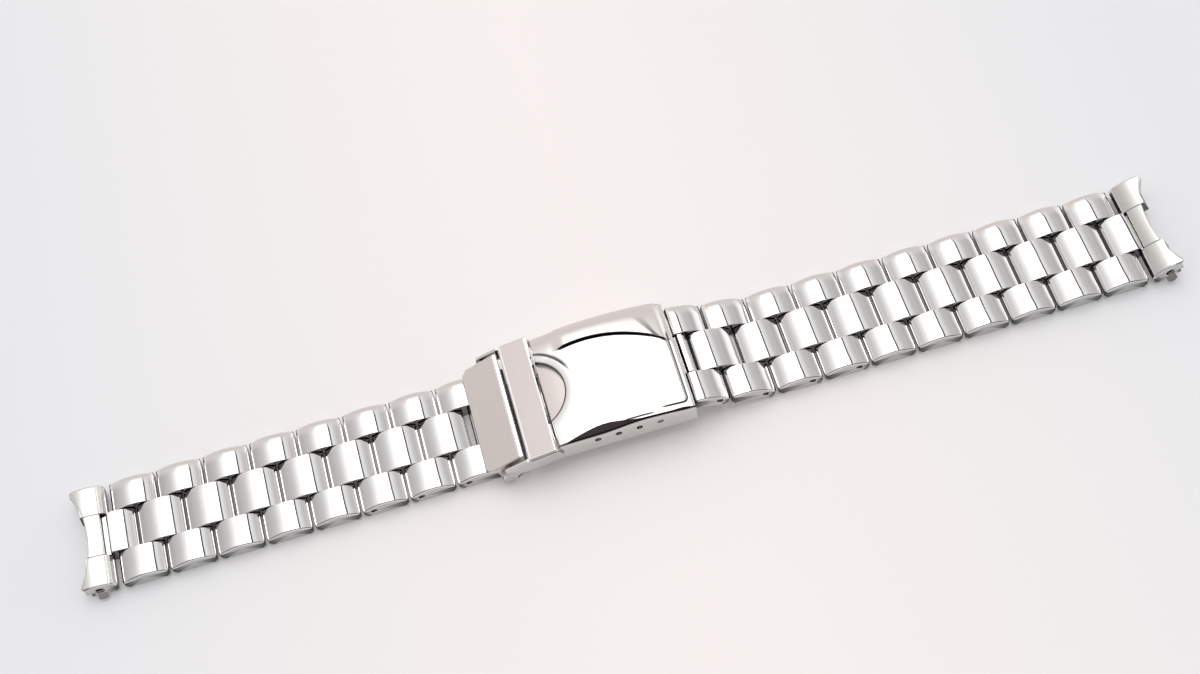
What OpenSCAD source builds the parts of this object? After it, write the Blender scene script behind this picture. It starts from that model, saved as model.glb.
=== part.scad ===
// Three-row steel watch bracelet with a folding clasp and a flip-over safety lock.
// It lies flat, wrist side down, with its length along X and the table at z = 0.
// Each link and clasp leaf turns about a pin that runs across the bracelet, along Y.
// Side outlines are drawn in the X-Z plane and extruded across the width.

/* [Bracelet] */
// Width of the bracelet over all three rows of links
band_w = 17.5; // [16.8:0.1:17.6]
// Width of the centre row
centre_w = 7; // [6.2:0.1:7.6]
// Clearance between the sides of neighbouring rows
row_gap = 0.1; // [0.06:0.01:0.16]
// Length of one outer link with its gap, which holds two pins
pitch = 7.6; // [7.4:0.1:8.2]
// Gap between the ends of two links in one row
end_gap = 0.42; // [0.3:0.02:0.46]
// Height of the pins above the underside of a flat link
pin_z = 1.45; // [1.4:0.05:1.55]

/* [Link profile] */
// Height of the crown above the pins, at the middle of a link
crown_z = 1.65; // [1.5:0.05:1.7]
// Height of the top of a link above the pins, at its two ends
shoulder_z = 0.75; // [0.65:0.05:0.85]
// Size of the polished chamfer on the upper end edges
top_chamfer = 0.3; // [0.2:0.05:0.5]
// Height of the relief on the lower end edges, which lets the links curl
relief_h = 0.75; // [0.6:0.05:0.9]
// Length of that relief
relief_l = 0.65; // [0.4:0.05:0.8]
// Size of the bevel on the outer side edges
side_bevel = 0.35; // [0.2:0.05:0.5]

/* [Pins] */
// Radius of the link pins
pin_r = 0.5; // [0.4:0.02:0.52]
// Radial clearance of a pin in the link that turns on it
pin_run = 0.05; // [0.02:0.01:0.08]
// Radial clearance of a pin in the piece that holds it
pin_fit = 0.02; // [0.01:0.01:0.03]
// Metal left over the end of a pin
pin_skin = 0.6; // [0.4:0.05:0.9]
// Depth of a removable pin below the side face that shows it
pin_recess = 0.25; // [0.1:0.05:0.5]

/* [End links] */
// Radius of the watch case that the end links fit
case_r = 18.3; // [17:0.1:20]
// Distance from the end link's pin to the middle of its curved end
end_reach = 2.2; // [2.15:0.05:2.6]
// Thickness of the folded sheet
sheet_t = 0.5; // [0.4:0.05:0.5]
// Radius of the hole for the watch's spring bar
lug_bore_r = 0.75; // [0.6:0.05:0.8]
// Width of the two bent legs
leg_w = 1.8; // [1.4:0.1:1.9]
// Outward splay of the legs
leg_splay = 60; // [40:1:62]
// Upward tilt of the left end link as it lies
left_tilt = 8; // [0:1:14]
// Upward tilt of the right end link as it lies
right_tilt = 27; // [0:1:28]

/* [Clasp cover] */
// Width of the cover
cover_w = 19.8; // [19.6:0.05:19.8]
// Length of the cover
cover_len = 21.65; // [21.2:0.05:21.8]
// Radius of the cover's arch along the bracelet
cover_arch_r = 56; // [54:0.5:64]
// Height of the top of the arch above the spring bar
cover_over = 2.5; // [2.45:0.05:2.8]
// Thickness of the cover's top sheet
cover_t = 0.7; // [0.5:0.05:0.75]
// Thickness of the cover's side walls
cover_wall = 0.8; // [0.6:0.05:0.9]
// Height of the side walls' lower edges above the table
cover_skirt_z = 2.9; // [2.6:0.05:3.4]
// Height of the raised panel on the cover
panel_h = 0.3; // [0.15:0.05:0.4]
// Radius of the half-moon nail opening
moon_r = 5.73; // [5.5:0.05:5.8]
// Distance that the nail opening reaches into the cover
moon_depth = 3.43; // [3:0.05:3.7]
// Height of the rolled rim round the nail opening
rim_h = 0.25; // [0.15:0.05:0.4]
// Number of spring bar holes in each side wall
adjust_holes = 4; // [3:1:4]
// Spacing of those holes
adjust_step = 3.3; // [3:0.05:3.4]
// Radius of those holes
adjust_hole_r = 0.5; // [0.45:0.01:0.55]
// Distance from the cover's right edge to the nearest hole
hole_inset = 5.75; // [5.5:0.05:6]

/* [Clasp blades] */
// Width of the two folding blades
blade_w = 12; // [10.8:0.1:12]
// Thickness of the lower blade
lower_t = 0.9; // [0.7:0.05:1]
// Thickness of the middle blade
middle_t = 0.8; // [0.6:0.05:0.85]
// Radius of the arch of the lower blade's underside
blade_arch_r = 70; // [68:1:80]
// Height of that arch above the table
blade_rise = 1.6; // [1.55:0.05:1.7]
// Gap between the folded blades
blade_gap = 0.25; // [0.2:0.05:0.3]
// Radius of the fold hinge's barrels
barrel_r = 1.15; // [1.05:0.05:1.2]

/* [Safety lock] */
// Width of the lock over its side arms
lock_w = 21; // [20.9:0.1:21.4]
// Gap between each arm and the side of the hood
lock_gap = 0.55; // [0.5:0.05:0.6]
// Length of the lock's bar, along the bracelet
bar_len = 4.75; // [4.4:0.05:4.8]
// Thickness of the bar
bar_t = 0.8; // [0.6:0.05:0.9]
// Thickness of the side arms
arm_t = 0.55; // [0.4:0.05:0.55]
// Radius of the rivets that the lock turns on
rivet_r = 0.6; // [0.5:0.05:0.65]
// Thickness of the hood's sheet
hood_t = 0.5; // [0.4:0.05:0.55]

/* [Hidden] */
$fn = 48;
slack = 0.02;
wide = 30;
left_pairs = 8;
right_pairs = 10;
left_adjust_pins = 3;
right_adjust_pins = 4;
steel = "gainsboro";
satin = "silver";
pin_steel = "darkgray";

// Link sizes
half_pitch = pitch / 2;
over = (half_pitch - end_gap) / 2;
outer_w = (band_w - centre_w) / 2 - row_gap;
outer_y = centre_w / 2 + row_gap + outer_w / 2;
crown_half = half_pitch / 2 + over - top_chamfer;
crown_r = (pow(crown_half, 2) + pow(crown_z - shoulder_z, 2)) / (2 * (crown_z - shoulder_z));
edge_z = shoulder_z - top_chamfer;
toe = over - relief_l;
run_r = pin_r + pin_run;
hold_r = pin_r + pin_fit;
pin_len = band_w - 2 * pin_skin;

// The right chain leaves the cover at the spring bar and comes down to the table.
// tilts holds the slope of each piece from the spring bar outwards.
bridge_len = hole_inset + 1.15;
bridge_over = 0.85;
short_len = 3;
short_over = 1.1;
short_crown_z = 1.35;
tilts = [3, 20, 18, 15, 4, 1];
right_pieces = 2 * right_pairs + 1;
left_pieces = 2 * left_pairs;
settle = toe * sin(tilts[len(tilts) - 1]);
function tilt_of(k) = k < len(tilts) ? tilts[k] : 0;
function step_of(k) = k == 0 ? bridge_len : (k == 1 ? short_len : half_pitch);
function run_to(k) = k <= 0 ? 0 : run_to(k - 1) + step_of(k - 1) * cos(tilt_of(k - 1));
function drop_to(k) = k <= 0 ? 0 : drop_to(k - 1) + step_of(k - 1) * sin(tilt_of(k - 1));

// Places in the clasp, along X from the middle of the clasp
cover_x = 1.775;
cover_left = cover_x - cover_len / 2;
cover_right = cover_x + cover_len / 2;
spring_x = cover_right - hole_inset;
spring_z = pin_z + settle + drop_to(len(tilts));
function right_x(k) = spring_x + run_to(k);
function right_z(k) = spring_z - drop_to(k);
wrist_pin_x = -20;
function left_x(k) = wrist_pin_x - half_pitch * (k - 1);

// Cover
cover_top = spring_z + cover_over;
cover_z = cover_top - cover_arch_r;
cover_edge_z = cover_z + sqrt(pow(cover_arch_r, 2) - pow(cover_len / 2, 2));
moon_x = cover_left + moon_depth - moon_r;
rim_w = 0.85;
panel_gap = 0.6;
panel_inset = 1;
// Far edge of the panel from right to left, as [distance along X from the cover's middle, y]
panel_far = [[8.1, 3.6], [6.1, 4.6], [4.1, 5.5], [2.1, 6.2], [-0.4, 6.65], [-3.2, 6.7], [-6.2, 6.4]];
plate_t = 0.5;
plate_over = 0.65;
spring_r = 0.65;
spring_end = 0.15;

// Blades: arcs about one centre, folded flat on each other
blade_x = -4;
blade_z = blade_rise - blade_arch_r;
lower_r = blade_arch_r + lower_t;
middle_r = lower_r + blade_gap;
function arc_z(r, x) = blade_z + sqrt(r * r - pow(x - blade_x, 2));
blade_left = -17.8;
fold_x = 11;
fold_z = barrel_r + 0.1;
fold_run = 0.25;
knuckle_w = blade_w / 2 - 0.1;
lift_r = 0.95;
lift_x = -6.5;
lift_z = arc_z(lower_r, lift_x) + 0.2 + lift_r;
lug_w = 0.9;
lug_gap = 0.1;
lug_span = blade_w + 2 * (lug_gap + lug_w);
wrist_knuckle_r = pin_z - 0.15;
bridge_r = 1.2;
bridge_head_z = 0.6;

// Lock and hood
bar_slope = 9.5;
bar_gap = 0.25;
bar_right = cover_left - bar_gap;
bar_left = bar_right - bar_len;
bar_right_z = cover_edge_z + 0.15;
bar_left_z = bar_right_z - bar_len * tan(bar_slope);
bar_bevel = 0.35;
lock_x = -17.5;
lock_z = 1.95;
arm_y = lock_w / 2 - arm_t / 2;
arm_in = lock_w / 2 - arm_t;
arm_round_r = 1.25;
arm_foot = 0.35;
arm_top_z = bar_left_z - 1.65;
arm_nose_x = bar_right + 0.95;
arm_nose_z = bar_right_z - 2.75;
rivet_run = 0.05;
rivet_sunk = 0.05;
collar_r = 0.95;
collar_run = 0.03;
hood_w = lock_w - 2 * (arm_t + lock_gap);
hood_right = bar_left - 0.55;
hood_top_z = bar_left_z - 0.05;
hood_flat_x = hood_right - 0.85;
hood_edge = 0.15;
hood_slope = 24.6;
hood_tip_x = -20.7;
hood_tip_t = 0.28;
hood_corner = 0.85;
hood_wall_x = hood_tip_x + 1.3;
hood_foot_z = 0.6;
hood_heel_z = 1.3;
hood_in = hood_w / 2 - hood_t;
function hood_z(x) = hood_top_z - (hood_flat_x - x) * tan(hood_slope);
catch_w = 2 * (arm_in - 0.35);
catch_t = 0.6;
catch_left = bar_left + 0.65;
catch_right = bar_right - 0.3;
catch_top = bar_left_z - bar_t - 0.25;
catch_skirt_z = catch_top - 1.8;
dimple_r = 0.35;
dimple_out = 0.1;
dimple_x = (bar_left + bar_right) / 2;
dimple_z = bar_left_z - 1.75;

// End links, each drawn with its pin at the origin and its curved end to the right
end_crown_r = 7.5;
end_crown_x = 1.2;
end_crown_z = 1.8;
end_block_l = 3;
// Side outline of an end link's solid side parts, as [x, z], from the heel round to the shoulder
end_block_side = [[-1.3, -0.6], [-0.9, -1.1], [0.2, -1.4], [end_block_l, -1.4],
                  [end_block_l, 2.2], [-0.7, 2.2], [-0.7, 1.5], [-1.25, 0.9]];
end_bore_x = 1.6;
end_bore_z = 0.15;
end_sheet_x = -0.1;
end_wall_drop = 0.3;
last_knuckle_r = 0.95;
last_cut = 1.15;
tip_x = 4.2;
tip_cut = 0.5;
tip_in = 0.35;
leg_x = 0.35;
leg_round = 0.8;
leg_root = 0.65;
leg_y = band_w / 2 - sheet_t / 2;
leg_drop = (pin_z + leg_x * sin(left_tilt)) / cos(left_tilt) - 0.2;

// The origin is under the middle of the whole length, which ends at the lower corners of the horns
function tip_reach(tilt) = tip_x * cos(tilt) + end_wall_drop * sin(tilt);
left_end = left_x(left_pieces + 1) - tip_reach(left_tilt);
right_end = right_x(right_pieces) + tip_reach(right_tilt);
shift = -(left_end + right_end) / 2;

// Helpers

// Moves a piece from the clasp's frame to the part's frame
module placed() {
  translate([shift, 0, 0]) children();
}

// Extrudes an X-Z outline across the bracelet, centred on y
module across(w, y = 0) {
  translate([0, y, 0]) rotate([90, 0, 0]) linear_extrude(w, center = true) children();
}

// A round bar across the bracelet
module rod(x, z, r, w, y = 0) {
  translate([x, y, z]) rotate([90, 0, 0]) cylinder(r = r, h = w, center = true);
}

// A box between two values of x and z, centred on y
module slab(x1, x2, z1, z2, w, y = 0) {
  translate([x1, y - w / 2, z1]) cube([x2 - x1, w, z2 - z1]);
}

// A bent sheet between two arcs about the blades' centre
module blade_band(r, t) {
  difference() {
    rod(blade_x, blade_z, r + t, wide);
    rod(blade_x, blade_z, r, wide + 1);
  }
}

// A bent sheet between two arcs about the cover's centre, measured down from its outside
module cover_band(up, down) {
  difference() {
    rod(cover_x, cover_z, cover_arch_r + up, wide);
    rod(cover_x, cover_z, cover_arch_r - down, wide + 1);
  }
}

// Links

// Side outline of a link from -a to b, with its pins at height 0
module link_outline(a, b, top) {
  rise = top + 0.2 - edge_z;
  polygon([
    [-a, relief_h - pin_z], [-a + relief_l, -pin_z], [b - relief_l, -pin_z], [b, relief_h - pin_z],
    [b, edge_z], [b - rise, edge_z + rise], [-a + rise, edge_z + rise], [-a, edge_z]]);
}

// The crown over a link: a drum across it, whose end on the outer side is bevelled
module crown_drum(w, y, top, side) {
  translate([0, y, top - crown_r]) rotate([-90 * side, 0, 0]) rotate_extrude()
    polygon([[0, -w / 2], [crown_r, -w / 2], [crown_r, w / 2 - side_bevel],
             [crown_r - side_bevel, w / 2], [0, w / 2]]);
}

// One outer block, on the far side (side = 1) or the near side (side = -1)
module outer_block(a, b, top, side) {
  intersection() {
    across(outer_w, side * outer_y) link_outline(a, b, top);
    crown_drum(outer_w, side * outer_y, top, side);
  }
}

// Two outer blocks on a pair of pins that are l apart.
// held lists the sides (-1 left, 1 right) whose pins are part of the pair,
// and a pin on the side named by open can be pushed out towards the near side.
module outer_pair(l, a, b, top, held, open) {
  color(steel) difference() {
    for (side = [-1, 1]) outer_block(a, b, top, side);
    for (s = [-1, 1]) rod(s * l / 2, 0, hold_r, pin_len + 2 * slack);
    if (open != 0) rod(open * l / 2, 0, hold_r, band_w / 2 + slack, -(band_w + slack) / 4 - slack);
  }
  color(pin_steel) for (s = held) rod(s * l / 2, 0, pin_r, pin_len);
}

// A centre link between two pins that turn in it
module centre_link() {
  a = half_pitch / 2 + over;
  color(steel) difference() {
    intersection() {
      across(centre_w) link_outline(a, a, crown_z);
      rod(0, crown_z - crown_r, crown_r, centre_w + 1);
    }
    for (s = [-1, 1]) rod(s * half_pitch / 2, 0, run_r, centre_w + 1);
  }
}

// The last centre link, whose right end is a low knuckle under the end link's sheet
module last_centre_link() {
  a = half_pitch / 2 + over;
  end = half_pitch / 2;
  color(steel) difference() {
    union() {
      intersection() {
        across(centre_w) link_outline(a, a, crown_z);
        rod(0, crown_z - crown_r, crown_r, centre_w + 1);
        slab(-a - 1, end - last_cut, -pin_z - 1, crown_z + 1, centre_w + 1);
      }
      slab(end - last_cut - 0.1, end, -last_knuckle_r, 0, centre_w);
      rod(end, 0, last_knuckle_r, centre_w);
    }
    for (s = [-1, 1]) rod(s * half_pitch / 2, 0, run_r, centre_w + 1);
  }
}

// A removable pin, seen from the near side
module adjust_pin() {
  near = band_w / 2 - pin_recess;
  far = band_w / 2 - pin_skin;
  color(pin_steel) rod(0, 0, pin_r, near + far, (far - near) / 2);
}

module left_outer(i) {
  a = half_pitch / 2 + over;
  open = i <= left_adjust_pins ? -1 : 0;
  held = i == 1 ? [] : (open == 0 ? [-1, 1] : [1]);
  placed() translate([left_x(2 * i - 1) - half_pitch / 2, 0, pin_z])
    outer_pair(half_pitch, a, a, crown_z, held, open);
}

module left_centre(i) {
  placed() translate([left_x(2 * i) - half_pitch / 2, 0, pin_z])
    if (i == left_pairs) mirror([1, 0, 0]) last_centre_link();
    else centre_link();
}

// Puts a piece of the right chain midway between pin k and the next, at its slope
module on_right(k) {
  placed() translate([(right_x(k) + right_x(k + 1)) / 2, 0, (right_z(k) + right_z(k + 1)) / 2])
    rotate([0, tilt_of(k), 0]) children();
}

module right_outer(i) {
  l = step_of(2 * i - 1);
  a = l / 2 + (i == 1 ? short_over : over);
  top = i == 1 ? short_crown_z : crown_z;
  open = i <= right_adjust_pins ? 1 : 0;
  held = open == 0 ? [-1, 1] : [-1];
  on_right(2 * i - 1) outer_pair(l, a, l / 2 + over, top, held, open);
}

module right_centre(i) {
  on_right(2 * i)
    if (i == right_pairs) last_centre_link();
    else centre_link();
}

module left_adjust_pin(i) {
  placed() translate([left_x(2 * i), 0, pin_z]) adjust_pin();
}

module right_adjust_pin(i) {
  placed() translate([right_x(2 * i), 0, right_z(2 * i)]) adjust_pin();
}

// End links

// Solid side part of an end link, which holds its pin and the watch's spring bar
module end_block(side) {
  intersection() {
    across(outer_w, side * outer_y) polygon(end_block_side);
    rod(end_crown_x, end_crown_z - end_crown_r, end_crown_r, wide);
  }
}

// Top sheet and side walls of an end link, with the two horns
module end_sheet() {
  half = band_w / 2;
  intersection() {
    difference() {
      rod(end_crown_x, end_crown_z - end_crown_r, end_crown_r, wide);
      rod(end_crown_x, end_crown_z - end_crown_r, end_crown_r - sheet_t, band_w - 2 * sheet_t);
    }
    linear_extrude(6, center = true) polygon([
      [end_sheet_x, -half], [tip_x - tip_cut, -half], [tip_x, -half + tip_in],
      [tip_x, half - tip_in], [tip_x - tip_cut, half], [end_sheet_x, half]]);
    slab(end_sheet_x, tip_x, -end_wall_drop, 3, wide);
  }
}

// A leg that bends down and out under the watch's lug
module end_leg(side) {
  length = (leg_drop - leg_root) / cos(leg_splay);
  translate([0, side * leg_y, -leg_root]) rotate([side * leg_splay, 0, 0]) across(sheet_t) {
    translate([leg_x, leg_round - length]) square([leg_w, length - leg_round]);
    translate([leg_x + leg_round, -length]) square([leg_w - 2 * leg_round, length]);
    translate([leg_x + leg_round, leg_round - length]) circle(leg_round);
    translate([leg_x + leg_w - leg_round, leg_round - length]) circle(leg_round);
  }
}

module end_link() {
  color(steel) difference() {
    union() {
      for (side = [-1, 1]) end_block(side);
      end_sheet();
      for (side = [-1, 1]) end_leg(side);
    }
    translate([end_reach + case_r, 0, 0]) cylinder(r = case_r, h = 12, center = true);
    rod(0, 0, hold_r, pin_len + 2 * slack);
    rod(end_bore_x, end_bore_z, lug_bore_r, band_w + 2 * slack);
  }
  color(pin_steel) rod(0, 0, pin_r, pin_len);
}

module left_end_link() {
  placed() translate([left_x(left_pieces + 1), 0, pin_z])
    rotate([0, left_tilt, 0]) mirror([1, 0, 0]) end_link();
}

module right_end_link() {
  placed() translate([right_x(right_pieces), 0, right_z(right_pieces)])
    rotate([0, -right_tilt, 0]) end_link();
}

// Clasp

// Arched top sheet with side walls, a raised panel, a nail opening and two hinge lugs
module cover() {
  placed() color(steel) difference() {
    union() {
      intersection() {
        difference() {
          rod(cover_x, cover_z, cover_arch_r, cover_w);
          rod(cover_x, cover_z, cover_arch_r - cover_t, cover_w - 2 * cover_wall);
        }
        slab(cover_left, cover_right, cover_skirt_z, cover_top + 1, wide);
      }
      cover_rim();
      cover_panel();
      for (side = [-1, 1]) cover_lug(side);
    }
    translate([moon_x, 0, 5]) cylinder(r = moon_r, h = 6);
    for (k = [0:adjust_holes - 1]) rod(spring_x - k * adjust_step, spring_z, adjust_hole_r, wide);
    rod(lift_x, lift_z, hold_r, lug_span + 2 * slack);
  }
}

// Rolled rim round the nail opening
module cover_rim() {
  intersection() {
    cover_band(rim_h, cover_t / 2);
    translate([moon_x, 0, 4]) cylinder(r = moon_r + rim_w, h = 6);
    slab(cover_left, cover_right, 4, cover_top + 1, wide);
  }
}

// Raised panel, whose far edge sweeps down towards the links and whose left edge follows the rim
module cover_panel() {
  near = -cover_w / 2 + panel_inset;
  left = cover_left + panel_inset + panel_gap;
  right = cover_right - panel_inset;
  intersection() {
    cover_band(panel_h, cover_t / 2);
    difference() {
      translate([0, 0, 4]) linear_extrude(6) polygon(concat(
        [[left, near], [right - panel_gap, near], [right, near + panel_gap], [right, 2]],
        [for (p = panel_far) [cover_x + p[0], p[1]]],
        [[left, 0]]));
      translate([moon_x, 0, 3]) cylinder(r = moon_r + rim_w + panel_gap, h = 8);
    }
  }
}

// Lug under the cover that carries the pin of the middle blade
module cover_lug(side) {
  y = side * (blade_w / 2 + lug_gap + lug_w / 2);
  intersection() {
    union() {
      rod(lift_x, lift_z, lift_r, lug_w, y);
      slab(lift_x - lift_r, lift_x + lift_r, lift_z, cover_top, lug_w, y);
    }
    rod(cover_x, cover_z, cover_arch_r - cover_t / 2, wide);
  }
}

// Flat plate under the nail opening, fixed to the cover's inside
module nail_plate() {
  placed() color(satin) intersection() {
    cover_band(-cover_t, cover_t + plate_t);
    slab(cover_left, moon_x + moon_r + plate_over, 4, cover_top, blade_w - 2 * lug_gap);
  }
}

// Arched plate between the cover's hinge and the fold
module middle_blade() {
  placed() color(steel) difference() {
    union() {
      intersection() {
        blade_band(middle_r, middle_t);
        union() {
          slab(lift_x, fold_x - barrel_r - fold_run, 0, 8, blade_w);
          slab(lift_x, fold_x, 0, 8, knuckle_w);
        }
      }
      rod(fold_x, fold_z, barrel_r, knuckle_w);
      rod(lift_x, lift_z, lift_r, blade_w);
    }
    rod(fold_x, fold_z, run_r, wide);
    rod(lift_x, lift_z, run_r, wide);
  }
}

// Arched plate against the wrist, with the fold's outer knuckles, wings for the hood
// and a narrow knuckle for the first link's pin
module lower_blade() {
  knuckle_y = (blade_w + knuckle_w) / 4 + 0.05;
  side_knuckle_w = (blade_w - knuckle_w) / 2 - 0.1;
  neck_z = arc_z(blade_arch_r, blade_left);
  placed() color(steel) difference() {
    union() {
      intersection() {
        blade_band(blade_arch_r, lower_t);
        union() {
          slab(blade_left, fold_x - barrel_r - fold_run, 0, 8, blade_w);
          slab(blade_left, hood_right + 0.3, 0, 8, 2 * hood_in);
          for (side = [-1, 1]) slab(0, fold_x - 0.5, 0, 8, side_knuckle_w, side * knuckle_y);
        }
      }
      for (side = [-1, 1]) rod(fold_x, fold_z, barrel_r, side_knuckle_w, side * knuckle_y);
      slab(wrist_pin_x, blade_left + 0.1, neck_z, neck_z + lower_t, centre_w);
      rod(wrist_pin_x, pin_z, wrist_knuckle_r, centre_w);
    }
    rod(fold_x, fold_z, hold_r, wide);
    rod(wrist_pin_x, pin_z, run_r, wide);
  }
}

// Sloping hood over the end of the links, with side walls that carry the lock's rivets
module hood() {
  left = hood_right - hood_t;
  tip_z = hood_z(hood_tip_x);
  inner_x = hood_tip_x + (hood_t - hood_tip_t) / tan(hood_slope);
  wall_y = hood_w / 2 - hood_t / 2;
  placed() color(satin) difference() {
    union() {
      difference() {
        across(hood_w) polygon([
          [hood_right, 0], [hood_right, hood_top_z - hood_edge], [hood_right - hood_edge, hood_top_z],
          [hood_flat_x, hood_top_z], [hood_tip_x, tip_z], [hood_tip_x, tip_z - hood_tip_t],
          [inner_x, tip_z - hood_tip_t], [hood_flat_x, hood_top_z - hood_t], [left, hood_top_z - hood_t],
          [left, 0]]);
        rod(blade_x, blade_z, lower_r, wide);
      }
      for (side = [-1, 1]) across(hood_t, side * wall_y) polygon([
        [hood_right, hood_foot_z], [hood_right, hood_top_z - hood_edge], [hood_right - hood_edge, hood_top_z],
        [hood_flat_x, hood_top_z], [hood_wall_x, hood_z(hood_wall_x)], [hood_wall_x + hood_t, hood_heel_z],
        [hood_wall_x + 2 * hood_t, hood_foot_z]]);
    }
    for (side = [-1, 1]) {
      translate([hood_tip_x, side * hood_w / 2, 0]) rotate(45)
        cube([hood_corner * sqrt(2), hood_corner * sqrt(2), 3 * hood_top_z], center = true);
      rod(lock_x, lock_z, rivet_r + pin_fit, 4 * hood_t, side * wall_y);
    }
  }
}

// Bracket on the lower blade, under the lock's bar, that the lock snaps onto
module lock_catch() {
  foot_y = blade_w / 2 - catch_t;
  placed() color(steel) difference() {
    union() {
      slab(catch_left, catch_right, catch_top - catch_t, catch_top, catch_w);
      for (side = [-1, 1]) {
        slab(catch_left, catch_right, catch_skirt_z, catch_top, catch_t, side * (catch_w - catch_t) / 2);
        slab(catch_left, catch_right, 0, catch_top, catch_t, side * foot_y);
      }
    }
    rod(blade_x, blade_z, lower_r, wide);
  }
}

// Bar with two side arms, which flips over the hood to open
module safety_lock() {
  bar_top_z = bar_right_z - bar_bevel * tan(bar_slope);
  placed() color(satin) difference() {
    union() {
      across(lock_w) polygon([
        [bar_left + 0.45, bar_left_z - bar_t + 0.07], [bar_right, bar_right_z - bar_t],
        [bar_right, bar_right_z - bar_bevel], [bar_right - bar_bevel, bar_top_z],
        [bar_left + 0.15, bar_left_z + 0.02], [bar_left, bar_left_z - 0.13], [bar_left, bar_left_z - 0.35]]);
      for (side = [-1, 1]) lock_arm(side);
    }
    rod(lock_x, lock_z, rivet_r + rivet_run, wide);
  }
}

// Side arm of the lock, from its rivet to the bar, with a snap dimple inside
module lock_arm(side) {
  across(arm_t, side * arm_y) {
    polygon([
      [lock_x - 0.9, arm_top_z], [bar_left - 0.25, bar_left_z - 0.2], [bar_right - 0.3, bar_right_z - 0.4],
      [arm_nose_x, arm_nose_z], [bar_right - 0.2, arm_nose_z - 0.4], [lock_x + 1.5, lock_z + 0.65],
      [lock_x + 1.1, lock_z - arm_foot], [lock_x - 1.1, lock_z - arm_foot]]);
    translate([lock_x, lock_z]) circle(arm_round_r);
  }
  translate([dimple_x, side * (arm_in + dimple_out), dimple_z]) sphere(dimple_r);
}

// Two rivets, each with a collar that spaces the lock's arm from the hood
module lock_rivets() {
  outer = lock_w / 2 - rivet_sunk;
  placed() color(pin_steel) for (side = [-1, 1]) {
    rod(lock_x, lock_z, rivet_r, outer - hood_in, side * (outer + hood_in) / 2);
    rod(lock_x, lock_z, collar_r, lock_gap - 2 * collar_run, side * (arm_in + hood_w / 2) / 2);
  }
}

module fold_pin() {
  placed() color(pin_steel) rod(fold_x, fold_z, pin_r, blade_w);
}

module cover_pin() {
  placed() color(pin_steel) rod(lift_x, lift_z, pin_r, lug_span);
}

// Sprung bar between the cover's side walls, which holds the clasp's end link
module spring_bar() {
  tip_r = adjust_hole_r - pin_run;
  tube = cover_w - 2 * cover_wall - 2 * spring_end;
  placed() color(pin_steel) union() {
    rod(spring_x, spring_z, spring_r, tube);
    rod(spring_x, spring_z, tip_r, cover_w - 2 * spring_end);
  }
}

module left_clasp_pin() {
  placed() translate([left_x(1), 0, pin_z]) color(pin_steel) rod(0, 0, pin_r, pin_len);
}

// Flat link between the spring bar inside the cover and the first outer pair
module clasp_end_link() {
  head = hole_inset + 0.35;
  end = bridge_len + bridge_over;
  placed() translate([spring_x, 0, spring_z]) rotate([0, tilt_of(0), 0])
    color(steel) difference() {
      union() {
        across(centre_w) polygon([
          [0, bridge_r], [head, bridge_head_z], [head + 0.4, bridge_head_z + 0.5],
          [head + 1.3, bridge_head_z + 0.45], [end - 0.3, bridge_head_z], [end, bridge_head_z - 0.3],
          [end, -0.7], [end - 0.6, -1.3], [0, -bridge_r]]);
        rod(0, 0, bridge_r, centre_w);
      }
      rod(0, 0, spring_r + pin_run, wide);
      rod(bridge_len, 0, run_r, wide);
    }
}

cover();
nail_plate();
middle_blade();
lower_blade();
hood();
lock_catch();
safety_lock();
lock_rivets();
fold_pin();
cover_pin();
spring_bar();
left_clasp_pin();
clasp_end_link();
for (i = [1:left_pairs]) {
  left_outer(i);
  left_centre(i);
}
for (i = [1:right_pairs]) {
  right_outer(i);
  right_centre(i);
}
for (i = [1:left_adjust_pins])
  left_adjust_pin(i);
for (i = [1:right_adjust_pins])
  right_adjust_pin(i);
left_end_link();
right_end_link();
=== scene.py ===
"""Three-row steel watch bracelet with a folding clasp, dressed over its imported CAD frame.

Lengths are worked out in millimetres in the clasp's own frame, as in the part's source, and each
mesh is moved to the part's frame and turned into metres when it is made.
"""

import math

import bpy
import numpy as np
from mathutils import Matrix, Vector


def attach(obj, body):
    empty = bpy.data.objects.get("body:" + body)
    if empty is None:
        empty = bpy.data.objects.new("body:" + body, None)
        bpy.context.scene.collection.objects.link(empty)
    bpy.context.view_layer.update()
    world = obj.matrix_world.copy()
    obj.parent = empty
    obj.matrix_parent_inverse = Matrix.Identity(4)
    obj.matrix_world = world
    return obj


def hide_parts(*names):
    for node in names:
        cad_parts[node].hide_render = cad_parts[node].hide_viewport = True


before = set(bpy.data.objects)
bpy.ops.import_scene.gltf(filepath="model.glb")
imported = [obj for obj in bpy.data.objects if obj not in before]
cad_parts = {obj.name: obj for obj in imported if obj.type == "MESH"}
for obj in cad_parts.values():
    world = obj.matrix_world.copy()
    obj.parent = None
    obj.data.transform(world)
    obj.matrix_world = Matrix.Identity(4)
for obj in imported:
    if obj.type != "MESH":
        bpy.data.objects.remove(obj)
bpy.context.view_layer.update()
scene = bpy.context.scene


# The studio: a pale matt table under one long soft box, with grey card at its sides, a dark area
# behind the camera, and the camera itself, placed as the photograph's perspective shows.

scene.view_settings.view_transform = "Standard"

table_half, tint_rate, table_glow, studio_light = 3.0, 9.0, 0.28, 3.1
table_corners = [(table_half * sx, table_half * sy, 0) for sx, sy in ((-1, -1), (1, -1), (1, 1), (-1, 1))]
table_mesh = bpy.data.meshes.new("table")
table_mesh.from_pydata(table_corners, [], [(0, 1, 2, 3)])
table = bpy.data.objects.new("table", table_mesh)
scene.collection.objects.link(table)


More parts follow.
